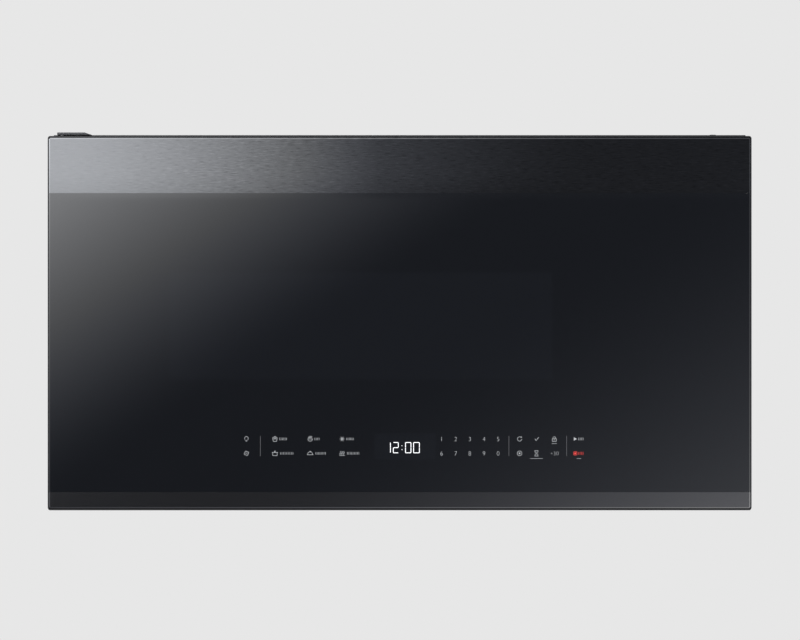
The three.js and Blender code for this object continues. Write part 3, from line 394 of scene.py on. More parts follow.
def make_finishes(door, casing):
    screen = (0.13, 0.13, 0.135)
    recipes = {
        "edge_frame": (moulded, (0.019, 0.0195, 0.021), 0.40, 0.35 * MM, 0.005 * MM, 0.28),
        "black_glass": (black_glass, tuple(door.glass)),
        "top_band": (brushed, tuple(door.band), 0.058, 0.3),
        # The bottom band's lighter colour is painted light for the reflection its grain spreads.
        "bottom_band": (brushed, tuple(door.lower_band), 0.125, 0.04),
        "casing": (painted, tuple(casing.paint), 0.42),
        "galvanised": (sheet_metal, (0.42, 0.43, 0.44), 0.38, 60.0, 0.5, 0.14),
        "black_plastic": (moulded, (0.016, 0.0165, 0.018), 0.45),
        "hinge_cap": (moulded, (0.040, 0.042, 0.046), 0.4, 0.4 * MM, 0.02 * MM),
        "steel": (sheet_metal, (0.46, 0.47, 0.48), 0.34),
        "zinc": (sheet_metal, (0.68, 0.68, 0.66), 0.24, 200.0, 0.0, 0.08),
        "black_screw": (painted, (0.022, 0.0225, 0.025), 0.3),
        "screen": (perforated, screen, (0, 2), 2.2 * MM),
        "vent_screen": (perforated, screen, (1, 2), 3.4 * MM),
        "enamel": (flecked, (0.26, 0.265, 0.275), 0.26, (0.40, 0.40, 0.41), 1500.0, 0.3),
        "aluminium": (sheet_metal, (0.66, 0.67, 0.68), 0.36, 300.0),
        "clear_glass": (clear_glass, (0.93, 0.96, 0.95), 0.02),
        "smoked_glass": (clear_glass, (0.42, 0.43, 0.44), 0.03),
        "lens": (clear_glass, (0.95, 0.95, 0.93), 0.22),
        "white_plastic": (moulded, (0.66, 0.66, 0.63), 0.4),
        "board": (circuit_board, (0.012, 0.07, 0.03)),
        "winding": (wound, (0.30, 0.11, 0.035), 1.1 * MM),
        "mica": (flecked, (0.38, 0.34, 0.25), 0.45, (0.60, 0.56, 0.44), 500.0),
        "charcoal": (flecked, (0.018, 0.018, 0.020), 0.9, (0.045, 0.045, 0.048), 420.0),
        "rubber": (moulded, (0.02, 0.02, 0.021), 0.8, 0.8 * MM, 0.06 * MM),
        # Emission on the key print, the stop sign and the rules is painted light; the clock's is
        # its lit display.
        "ink": (ink, tuple(door.ink), 0.42),
        "clock_ink": (ink, (0.90, 0.91, 0.93), 0.8),
        "stop_ink": (ink, (0.72, 0.06, 0.05), 0.5),
        "rule_ink": (ink, (0.16, 0.16, 0.17), 0.12),
    }
    for name, (make, *values) in recipes.items():
        FINISHES[name] = make(name, *values)


# --- mesh helpers


def sized(centre, size):
    return Matrix.Translation(centre) @ Matrix.Diagonal((*size, 1))


def box_between(low, high):
    bm = bmesh.new()
    low, high = Vector(low), Vector(high)
    bmesh.ops.create_cube(bm, size=1, matrix=sized((low + high) / 2, high - low))
    return bm


def edges_along(bm, axis, shortest):
    """The edges that run along an axis for more than a length."""
    return [e for e in bm.edges if abs((e.verts[0].co - e.verts[1].co)[axis]) > shortest]


def bevel(bm, edges, width, segments=2):
    bmesh.ops.bevel(bm, geom=list(edges), offset=width, offset_type="OFFSET", segments=segments,
                    profile=0.5, affect="EDGES", clamp_overlap=True, material=-1)


def face_outwards(bm):
    bmesh.ops.recalc_face_normals(bm, faces=bm.faces[:])


def join_flat_faces(bm):
    bmesh.ops.dissolve_limit(bm, angle_limit=math.radians(0.5), verts=bm.verts[:],
                             edges=bm.edges[:])


def cut(bm, point, normal, clear_outer=False):
    bmesh.ops.bisect_plane(bm, geom=bm.verts[:] + bm.edges[:] + bm.faces[:], dist=1e-7,
                           plane_co=point, plane_no=normal, clear_outer=clear_outer)


def new_verts(made):
    return [v for v in made["geom"] if isinstance(v, bmesh.types.BMVert)]


def sharp_edges(bm):
    return [e for e in bm.edges
            if len(e.link_faces) == 2 and e.calc_face_angle(0.0) > math.radians(30)]


def stored(bm, name, material):
    """A finished bmesh as an object of the scene."""
    mesh = bpy.data.meshes.new(name)
    bm.to_mesh(mesh)
    bm.free()
    mesh.materials.append(material)
    piece = bpy.data.objects.new(name, mesh)
    bpy.context.scene.collection.objects.link(piece)
    return piece


def keep(bm, name, finish, body, replaces=(), smooth=40.0):
    """Stores a finished bmesh as a piece that rides on a body."""
    piece = stored(bm, name, FINISHES[finish])
    for polygon in piece.data.polygons:
        polygon.material_index = 0
    if smooth:
        piece.data.shade_smooth()
        piece.data.set_sharp_from_angle(angle=math.radians(smooth))
        facing = piece.modifiers.new("facing", "WEIGHTED_NORMAL")
        facing.weight = 100
        facing.keep_sharp = True
    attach(piece, body)
    if replaces:
        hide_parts(*replaces)
    return piece


def copy_of(node):
    """A node's mesh with its loose triangles joined and its flat faces whole."""
    bm = bmesh.new()
    bm.from_mesh(NODES[node].data)
    bmesh.ops.remove_doubles(bm, verts=bm.verts[:], dist=TOUCH)
    join_flat_faces(bm)
    return bm


def softened(node, width, finish):
    """The node with its sharp edges rounded, in its place."""
    bm = copy_of(node)
    bevel(bm, sharp_edges(bm), width)
    keep(bm, node + "_soft", finish, BODY_OF[node], (node,), 35.0)


def dress(finish, *nodes):
    """Gives CAD nodes their finish."""
    for node in nodes:
        for slot in NODES[node].material_slots:
            slot.material = FINISHES[finish]


def stamped(x, y, holes, beads, thickness, depth):
    """A pressed sheet in the XY plane, front face at z = 0: holes cut out, beads pushed down."""
    bm = bmesh.new()
    matrix = sized((sum(x) / 2, sum(y) / 2, 0), (x[1] - x[0], y[1] - y[0], 1))
    bmesh.ops.create_grid(bm, x_segments=1, y_segments=1, size=0.5, matrix=matrix)
    for region in holes + beads:
        for number, normal in ((0, (1, 0, 0)), (1, (0, 1, 0))):
            for at in region[number]:
                cut(bm, tuple(at * part for part in normal), normal)

    def faces_in(region):
        return [f for f in bm.faces
                if all(region[n][0] < f.calc_center_median()[n] < region[n][1] for n in (0, 1))]

    for hole in holes:
        bmesh.ops.delete(bm, geom=faces_in(hole), context="FACES")
    for bead in beads:
        bmesh.ops.inset_region(bm, faces=faces_in(bead), thickness=depth, depth=-depth,
                               use_even_offset=True, use_boundary=True)
    join_flat_faces(bm)
    bmesh.ops.solidify(bm, geom=bm.faces[:], thickness=thickness)
    return bm


class Print:
    """Thin printed lines on the front of the door glass, in millimetres from a movable origin."""

    thickness = 0.11 * MM
    proud = 0.005 * MM  # how far the middle of the ink lies in front of the glass
    font_share = 0.70  # a figure's height in a font of size 1
    thinning = 0.16 * MM
    tick_width, tick_pitch = 0.36 * MM, 1.6

    def __init__(self, width):
        self.bm = bmesh.new()
        self.width = width
        self.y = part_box("door_glass")[0].y - self.proud
        self.at(0, 0)

    def at(self, x, z):
        """Moves the origin."""
        self.origin = x, z

    def point(self, x, z):
        return Vector(((self.origin[0] + x) * MM, self.y, (self.origin[1] + z) * MM))

    def bar(self, x0, z0, x1, z1, width=None):
        start, end = self.point(x0, z0), self.point(x1, z1)
        run = end - start
        turn = Matrix.Rotation(-math.atan2(run.z, run.x), 4, "Y")
        size = Matrix.Diagonal((run.length, self.thickness, width or self.width, 1))
        matrix = Matrix.Translation((start + end) / 2) @ turn @ size
        bmesh.ops.create_cube(self.bm, size=1, matrix=matrix)

    def path(self, *points):
        for start, end in zip(points, points[1:]):
            self.bar(*start, *end)

    def ring(self, x, z, radius, start=0.0, turn=360.0, steps=24):
        """A ring, or an arc that starts at an angle and runs through a turn, in degrees."""
        centre = self.point(x, z)
        angle = math.radians(start)
        out = Vector((math.cos(angle), 0, math.sin(angle)))
        up = Vector((0, self.thickness / 2, 0))
        verts = [self.bm.verts.new(centre + out * (radius * MM + side * self.width / 2) + up * face)
                 for side, face in ((-1, -1), (1, -1), (1, 1), (-1, 1))]
        edges = [self.bm.edges.new((verts[i - 1], verts[i])) for i in range(4)]
        whole = turn >= 360.0
        bmesh.ops.spin(self.bm, geom=verts + edges, cent=centre, axis=(0, -1, 0),
                       angle=math.radians(turn), steps=max(4, round(steps * turn / 360)),
                       use_merge=whole)
        if not whole:
            ends = [e for e in self.bm.edges if e.is_boundary]
            bmesh.ops.holes_fill(self.bm, edges=ends, sides=4)

    def dot(self, x, z, radius):
        matrix = Matrix.Translation(self.point(x, z)) @ Matrix.Rotation(math.pi / 2, 4, "X")
        bmesh.ops.create_cone(self.bm, cap_ends=True, segments=16, radius1=radius * MM,
                              radius2=radius * MM, depth=self.thickness, matrix=matrix)

    def shape(self, *points):
        """A filled outline."""
        up = Vector((0, self.thickness, 0))
        face = self.bm.faces.new([self.bm.verts.new(self.point(*p) - up / 2) for p in points])
        made = bmesh.ops.extrude_face_region(self.bm, geom=[face], use_keep_orig=True)
        bmesh.ops.translate(self.bm, verts=new_verts(made), vec=up)

    def number(self, text, x, z, height):
        """Plain figures, centred at a point."""
        curve = bpy.data.curves.new("figures", "FONT")
        curve.body = text
        curve.align_x = "CENTER"
        curve.size = height * MM / self.font_share
        curve.extrude = self.thickness / 2
        curve.offset = -self.thinning
        holder = bpy.data.objects.new("figures", curve)
        bpy.context.scene.collection.objects.link(holder)
        bpy.context.view_layer.update()
        mesh = bpy.data.meshes.new_from_object(holder)
        bpy.data.objects.remove(holder)
        figures = bmesh.new()
        figures.from_mesh(mesh)
        bmesh.ops.remove_doubles(figures, verts=figures.verts[:], dist=1e-7)
        place = Matrix.Translation(self.point(x, z - height / 2))
        bmesh.ops.transform(figures, matrix=place @ Matrix.Rotation(math.pi / 2, 4, "X"),
                            verts=figures.verts[:])
        figures.to_mesh(mesh)
        figures.free()
        self.bm.from_mesh(mesh)
        bpy.data.meshes.remove(mesh)

    def level(self, x0, x1, z, tall=2.7):
        """A row of thin level ticks."""
        count = round((x1 - x0) / self.tick_pitch)
        for number in range(count + 1):
            x = x0 + (x1 - x0) * number / count
            self.bar(x, z - tall / 2, x, z + tall / 2, self.tick_width)

    def segment(self, x0, z0, x1, z1, width):
        """One stroke of a seven-stroke figure, with pointed ends."""
        start, end = Vector((x0, z0)), Vector((x1, z1))
        along = (end - start).normalized() * width / 2
        across = Vector((-along.y, along.x))
        self.shape(start, start + along + across, end - along + across,
                   end, end - along - across, start + along - across)

    def keep(self, name, finish):
        face_outwards(self.bm)
        keep(self.bm, name, finish, "door", smooth=0)


# --- stage


def reflector(name, low, high, emission):
    """A card that only glossy surfaces see; emission works its brightness out from its axes."""
    surface = Surface(name, (0, 0, 0), 1.0)
    glow = surface.add("ShaderNodeEmission")
    strength = emission(surface)
    tint = surface.mix(strength.spread(0.2, 1.6), (0.955, 0.995, 1.14), (0.975, 0.985, 1.01))
    surface.feed(strength, glow.inputs["Strength"])
    surface.feed(tint, glow.inputs["Color"])
    surface.feed(glow.outputs[0], surface.tree.nodes["Material Output"].inputs["Surface"])
    surface.tree.nodes.remove(surface.shader)
    card = stored(box_between(low, high), name, surface.material)
    for ray in ("camera", "diffuse", "shadow", "transmission", "volume_scatter"):
        setattr(card, "visible_" + ray, False)


def front_glow(surface):
    """The soft light that the door's face mirrors: upper left, and a little at the lower right."""
    x, _, z = surface.axes()
    from_left, from_top = x + 0.3795, 0.20165 - z
    at_band = z.spread(0.139, 0.142, smooth=True)
    over_glass = from_left.at_least(-0.06) * 0.546
    over_band = (from_left.at_least(0.0) ** 1.5 * 1.053).at_most(from_left * 0.33 + 0.106) - 0.005
    across = over_glass * (1.0 - at_band) + over_band * at_band
    down = from_top.at_least(0.036) * 0.838
    upper_left = ((0.3335 - (across + down)).at_least(0.0) * 7.41) ** 2.0
    lower_right = (0.3673 - x) * -1.39 + (z + 0.1749) * -2.13 + 0.775
    lower_right = lower_right.at_least(0.0).at_most(1.1) ** 2.0
    inner = upper_left + lower_right + (at_band * 0.04 + 0.13)
    outside = abs(x).spread(0.75, 1.25, 0, 1, True)
    outside = outside.at_least(abs(z).spread(0.60, 1.10, 0, 1, True))
    return inner * (1.0 - outside) + outside * 0.8


def side_glow(axis, dark_end, bright_end, low, high, steepness):
    """Brightness that runs from one end of a card to the other."""

    def emission(surface):
        along = surface.axes()[axis].spread(dark_end, bright_end) ** steepness
        return along.spread(0, 1, low, high)

    return emission


class MICROWAVE_OT_stage(bpy.types.Operator):
    """Makes the camera, the floor and the light"""

    bl_idname = "microwave.stage"
    bl_label = "Stage"

    aim = (0.38 * MM, 3.18 * MM)  # the picture's middle, across and up the door's face
    sensor = 36

    def execute(self, context):
        stage = context.scene.microwave_stage
        context.scene.view_settings.view_transform = "Standard"
        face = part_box("door_glass")[0].y
        self.camera(context.scene, stage, face)
        self.floor(stage)
        self.world(context.scene, stage)
        self.lamps(stage, face)
        self.reflectors(face)
        return {"FINISHED"}

    def camera(self, scene, stage, face):
        lens = bpy.data.cameras.new("camera")
        lens.sensor_width = self.sensor
        lens.lens = self.sensor * stage.distance / stage.view_width
        lens.clip_start = 1
        lens.clip_end = 200
        camera = bpy.data.objects.new("camera", lens)
        camera.location = (self.aim[0], face - stage.distance, self.aim[1])
        camera.rotation_euler = (math.pi / 2, 0, 0)
        scene.collection.objects.link(camera)
        scene.camera = camera

    def floor(self, stage):
        surface = Surface("floor", tuple(stage.backdrop), 0.7, Specular_IOR_Level=0.1)
        surface.shades(surface.noise(2.0), 0.985, 1.015)
        bm = bmesh.new()
        bmesh.ops.create_grid(bm, x_segments=8, y_segments=8, size=9,
                              matrix=Matrix.Translation((0, -3, stage.floor_height)))
        stored(bm, "floor", surface.material)

    def world(self, scene, stage):
        """Soft light from all round; the camera, mirrors and glass see the plain backdrop."""
        world = bpy.data.worlds.new("world")
        scene.world = world
        world.use_nodes = True
        nodes, link = world.node_tree.nodes, world.node_tree.links.new
        backdrop = nodes["Background"]
        backdrop.inputs["Color"].default_value = (*stage.backdrop, 1)
        soft = nodes.new("ShaderNodeBackground")
        soft.inputs["Color"].default_value = (0.97, 0.985, 1.0, 1)
        soft.inputs["Strength"].default_value = 0.55
        path = nodes.new("ShaderNodeLightPath")
        seen = path.outputs["Is Camera Ray"]
        for other in ("Is Glossy Ray", "Is Transmission Ray"):
            either = nodes.new("ShaderNodeMath")
            either.operation = "MAXIMUM"
            link(seen, either.inputs[0])
            link(path.outputs[other], either.inputs[1])
            seen = either.outputs[0]
        mix = nodes.new("ShaderNodeMixShader")
        for number, source in enumerate((seen, soft.outputs[0], backdrop.outputs[0])):
            link(source, mix.inputs[number])
        link(mix.outputs[0], nodes["World Output"].inputs["Surface"])

    def lamps(self, stage, face):
        for name, place, size, energy in (
            ("key_lamp", (-1.7, face - 1.6, 1.9), 1.6, stage.key_power),
            ("fill_lamp", (2.0, face - 1.2, 0.5), 1.4, stage.fill_power),
            ("back_lamp", (0.6, 2.2, 1.6), 1.4, stage.fill_power),
        ):
            light = bpy.data.lights.new(name, "AREA")
            light.shape = "SQUARE"
            light.size = size
            light.energy = energy
            lamp = bpy.data.objects.new(name, light)
            lamp.location = place
            look = Vector((0, -0.2, 0)) - Vector(place)
            lamp.rotation_euler = look.to_track_quat("-Z", "Y").to_euler()
            lamp.visible_glossy = name == "back_lamp"
            bpy.context.scene.collection.objects.link(lamp)

    def reflectors(self, face):
        front, near, far = face - 1.2, face - 0.45, face + 0.45
        for name, low, high, emission in (
            ("front", (-1.4, front - 0.01, -1.2), (1.4, front, 1.2), front_glow),
            ("left", (-1.61, near, -0.6), (-1.6, far, 0.6),
             side_glow(2, -0.35, 0.3, 0.7, 14.7, 3.5)),
            ("top", (-0.9, near, 1.4), (0.9, far, 1.41), side_glow(0, 0.5, -0.5, 0.6, 10.0, 2.5)),
            ("right", (1.6, near, -0.6), (1.61, far, 0.6), side_glow(2, 0.3, -0.3, 0.6, 3.8, 3.0)),
            ("bottom", (-0.9, near, -0.42), (0.9, far, -0.41),
             side_glow(0, -0.4, 0.4, 0.45, 1.9, 2.0)),
        ):
            reflector(name + "_reflector", low, high, emission)


# --- door


def face_panel(node, finish, door, outer_sides, fine=()):
    """A flat panel of the door's face: a bright bevel along its outer sides, a thin one on fine."""
    low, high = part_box(node)
    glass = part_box("door_glass")
    if "bottom" in outer_sides:
        low.z += door.bottom_lap
        high.z = glass[0].z - door.seam
    if "top" in outer_sides:
        high.z -= door.top_lap
        low.z = glass[1].z + door.seam
    bm = box_between(low, high)
    near = 2.5 * MM  # more than a corner's radius

    def sides_of(edge, names):
        """How many of the named sides an edge's middle lies on."""
        x, _, z = (edge.verts[0].co + edge.verts[1].co) / 2
        gaps = {"left": x - low.x, "right": high.x - x, "bottom": z - low.z, "top": high.z - z}
        return sum(abs(gaps[name]) < near for name in names)

    def front_edges(names):
        return [e for e in bm.edges
                if all(abs(v.co.y - low.y) < TOUCH for v in e.verts) and sides_of(e, names)
                and len(e.link_faces) == 2 and e.calc_face_angle(0.0) > 1.0]

    corners = [e for e in edges_along(bm, 1, MM) if sides_of(e, outer_sides) == 2]
    if corners:
        bevel(bm, corners, door.corner, 4)
    bevel(bm, [e for e in front_edges(outer_sides) if not sides_of(e, fine)], door.bevel, 1)
    if fine:
        bevel(bm, [e for e in front_edges(fine) if e.calc_length() > 0.1], 0.15 * MM, 1)
    keep(bm, node + "_panel", finish, "door", (node,), 0)


class MICROWAVE_OT_door_face(bpy.types.Operator):
    """Makes the glass, the two brushed bands and the frame round them"""

    bl_idname = "microwave.door_face"
    bl_label = "Door face"

    def execute(self, context):
        door = context.scene.microwave_door
        ends = ("left", "right")
        face_panel("door_glass", "black_glass", door, ends)
        face_panel("top_band", "top_band", door, (*ends, "top"))
        face_panel("bottom_band", "bottom_band", door, (*ends, "bottom"), ("top",))
        self.edge_frame(door)
        return {"FINISHED"}

    def edge_frame(self, door):
        """The dark frame, its rim a little behind the panels' faces so that their bevels show."""
        bm = copy_of("door_edge_frame")
        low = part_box("door_edge_frame")[0]
        bottom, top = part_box("bottom_band")[0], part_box("top_band")[1]
        near, outer, skirt = 0.01 * MM, 0.9 * MM, 3 * MM
        rim = [v for v in bm.verts if v.co.y < low.y + TOUCH]
        for edge, lap in ((bottom.z, door.bottom_lap), (top.z, -door.top_lap)):
            for vert in rim:
                if abs(vert.co.z - edge) < near and abs(vert.co.x) < top.x + near:
                    vert.co.z += lap
        for vert in bm.verts:
            height = vert.co.z - low.z
            if height < outer or (height < skirt and vert not in rim):
                vert.co.z -= door.rim_drop
        bmesh.ops.translate(bm, verts=rim, vec=(0, door.rim_set_back, 0))
        bevel(bm, sharp_edges(bm), door.rim_softening)
        keep(bm, "door_edge_frame_soft", "edge_frame", "door",
             ("door_edge_frame",), 35.0)


class MICROWAVE_OT_key_print(bpy.types.Operator):
    """Prints the touch keys' plain figures and signs, and the clock"""

    bl_idname = "microwave.key_print"
    bl_label = "Key print"

    rows = (-125.1, -140.6)

    def execute(self, context):
        width = context.scene.microwave_door.ink_width
        self.figures(width)
        self.signs(width)
        self.clock()
        rules = Print(width * 0.9)
        for x in (-150.2, 117.8, 180.1):
            rules.bar(x, -121.8, x, -143.5)
        rules.keep("key_rules", "rule_ink")
        stop = Print(width)
        stop.at(189.4, self.rows[1])
        stop.path((-1.7, -1.7), (1.7, -1.7), (1.7, 1.7), (-1.7, 1.7), (-1.7, -1.7))
        stop.bar(-0.9, 0, 0.9, 0, 1.8 * MM)
        stop.level(3.6, 8.4, 0, 3.0)
        stop.keep("stop_sign", "stop_ink")
        return {"FINISHED"}

    def figures(self, width):
        figures = Print(width)
        first, step = 45.2, 15.24
        for row, text in zip(self.rows, ("12345", "67890")):
            for place, figure in enumerate(text):
                figures.number(figure, first + step * place, row, 4.8)
        figures.number("+30", 166.9, self.rows[1], 4.2)
        figures.keep("key_figures", "ink")

    def clock(self):
        """12:00 in seven-stroke figures; a stroke runs between two corners of a 1 by 2 grid."""
        clock = Print(1.1 * MM)
        low, high, stroke = -140.0, -128.9, 0.72
        heights = (low, (low + high) / 2, high)
        strokes = {
            "a": (0, 2, 1, 2), "b": (1, 2, 1, 1), "c": (1, 1, 1, 0), "d": (0, 0, 1, 0),
            "e": (0, 1, 0, 0), "f": (0, 2, 0, 1), "g": (0, 1, 1, 1),
        }
        for lit, *sides in (
            ("bc", -15.4, -9.9), ("abdeg", -6.85, -1.45),
            ("abcdef", 6.3, 12.2), ("abcdef", 15.0, 21.3),
        ):
            for name in lit:
                a, b, c, d = strokes[name]
                clock.segment(sides[a], heights[b], sides[c], heights[d], stroke)
        for rise in (2.1, -2.1):
            clock.dot(2.5, heights[1] + rise, 0.45)
        clock.keep("clock_figures", "clock_ink")

    def signs(self, width):
        """Plain signs where the keys are: lamp, fan, six dishes and the settings."""
        top, bottom = self.rows
        p = Print(width)
        p.at(-165.2, top)
        p.ring(0, 0.6, 2.0, -50, 280)
        p.bar(-1.0, -1.6, 1.0, -1.6)
        p.bar(-0.7, -2.5, 0.7, -2.5)
        p.at(-165.2, bottom)
        for turn in (0, 90, 180, 270):
            angle = math.radians(turn + 20)
            p.ring(1.35 * math.cos(angle), 1.35 * math.sin(angle), 1.1, turn - 70, 200)
        p.dot(0, 0, 0.45)

        p.at(-134.5, top)
        p.path((-2.4, 0), (-1.6, -2.6), (1.6, -2.6), (2.4, 0), (-2.4, 0))
        for x, z in ((-1.5, 0.9), (0.0, 1.9), (1.5, 0.9)):
            p.ring(x, z, 0.9)
        p.at(-96.5, top)
        p.ring(0, 0, 2.4, 180, 180)
        p.bar(-3.0, 0, 3.0, 0)
        for x in (-1.3, 0.0, 1.3):
            p.ring(x, 1.4, 0.55, 90, 180)
            p.ring(x, 2.4, 0.55, -90, 180)
        p.at(-62.0, top)
        for turn in (0, 60, 120):
            angle = math.radians(turn)
            x, z = 2.7 * math.cos(angle), 2.7 * math.sin(angle)
            p.bar(-x, -z, x, z)
        p.ring(0, 0, 1.3, steps=6)

        p.at(-134.5, bottom)
        p.path((-2.4, 0.8), (-2.4, -2.4), (2.4, -2.4), (2.4, 0.8))
        p.bar(-3.3, 0.9, 3.3, 0.9)
        p.ring(0, 2.0, 0.6)
        p.at(-96.5, bottom)
        p.ring(0, -1.2, 2.8, 0, 180)
        p.bar(-3.4, -1.5, 3.4, -1.5)
        p.dot(0, 2.1, 0.5)
        p.at(-62.0, bottom)
        p.bar(-3.0, -2.3, 3.0, -2.3)
        for x in (-1.8, 0.0, 1.8):
            p.ring(x, -0.6, 0.7, 90, 180)
            p.ring(x, 0.8, 0.7, -90, 180)
            p.bar(x, 1.5, x, 2.4)

        p.at(129.3, top)
        p.ring(0, 0, 2.3, 60, 300)
        p.path((2.2, 3.0), (1.2, 2.0), (2.6, 1.2))
        p.at(147.7, top)
        p.path((-2.0, 0.1), (-0.5, -1.7), (2.3, 1.9))
        p.at(166.8, top)
        p.path((-2.2, -2.6), (2.2, -2.6), (2.2, 0.4), (-2.2, 0.4), (-2.2, -2.6))
        p.ring(0, 0.9, 1.5, 0, 180)
        p.dot(0, -1.0, 0.5)
        p.at(129.3, bottom)
        p.ring(0, 0, 2.5)
        p.dot(0, 0, 0.9)
        p.at(147.5, bottom)
        for z in (2.9, -2.9):
            p.bar(-2.0, z, 2.0, z)
        for x in (1.6, -1.6):
            p.path((-x, 2.9), (-x, 1.6), (x, -1.6), (x, -2.9))
        p.at(189.2, top)
        p.shape((-1.4, -1.8), (2.0, 0), (-1.4, 1.8))

        p.at(0, 0)
        p.level(193.0, 197.8, top, 3.0)
        for row, starts_and_ends in (
            (top, ((-129.4, -122.0), (-91.6, -86.8), (-57.2, -50.0))),
            (bottom, ((-128.6, -115.0), (-90.4, -80.0), (-56.4, -44.0))),
        ):
            for start, end in starts_and_ends:
                p.level(start, end, row)
        for start, end, z in (
            (164.0, 169.6, top - 5.0), (140.6, 154.4, bottom - 5.6), (191.0, 195.8, bottom - 5.6)
        ):
            p.bar(start, z, end, z, 0.3 * MM)
        p.keep("key_signs", "ink")


class MICROWAVE_OT_door_inside(bpy.types.Operator):
    """Finishes the door's back, window, latch and hinges"""

    bl_idname = "microwave.door_inside"
    bl_label = "Door inside"

    def execute(self, context):
        softened("choke_cover", 0.5 * MM, "black_plastic")
        dress("smoked_glass", "inner_window_pane")
        dress("screen", "window_screen")
        dress("casing", "door_inner_frame")
        dress("board", "touch_board")
        dress("black_plastic", "display_module", "upper_hinge_bush", "lower_hinge_bush")
        softened("door_latch", 0.4 * MM, "white_plastic")
        self.spring()
        return {"FINISHED"}

    def spring(self):
        """The latch's return spring as wound wire; the real one shortens as the latch rises, this
        piece keeps its rest length.
        """
        low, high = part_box("latch_spring")
        centre = (low + high) / 2
        wire, turns, steps = 0.6 * MM, 6, 120
        bm = bmesh.new()
        matrix = Matrix.Translation((high.x - wire, centre.y, low.z + wire))
        matrix @= Matrix.Rotation(math.pi / 2, 4, "X")
        start = bmesh.ops.create_circle(bm, segments=8, radius=wire, matrix=matrix)["verts"]
        rise = (high.z - low.z - 2 * wire) / steps
        bmesh.ops.spin(bm, geom=start + bm.edges[:], cent=centre, axis=(0, 0, 1),
                       dvec=(0, 0, rise), angle=math.tau * turns, steps=steps)
        bmesh.ops.holes_fill(bm, edges=[e for e in bm.edges if e.is_boundary], sides=8)
        face_outwards(bm)
        spring = keep(bm, "latch_spring_wound", "steel", "door", ("latch_spring",), 50.0)
        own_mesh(spring)


# --- casing


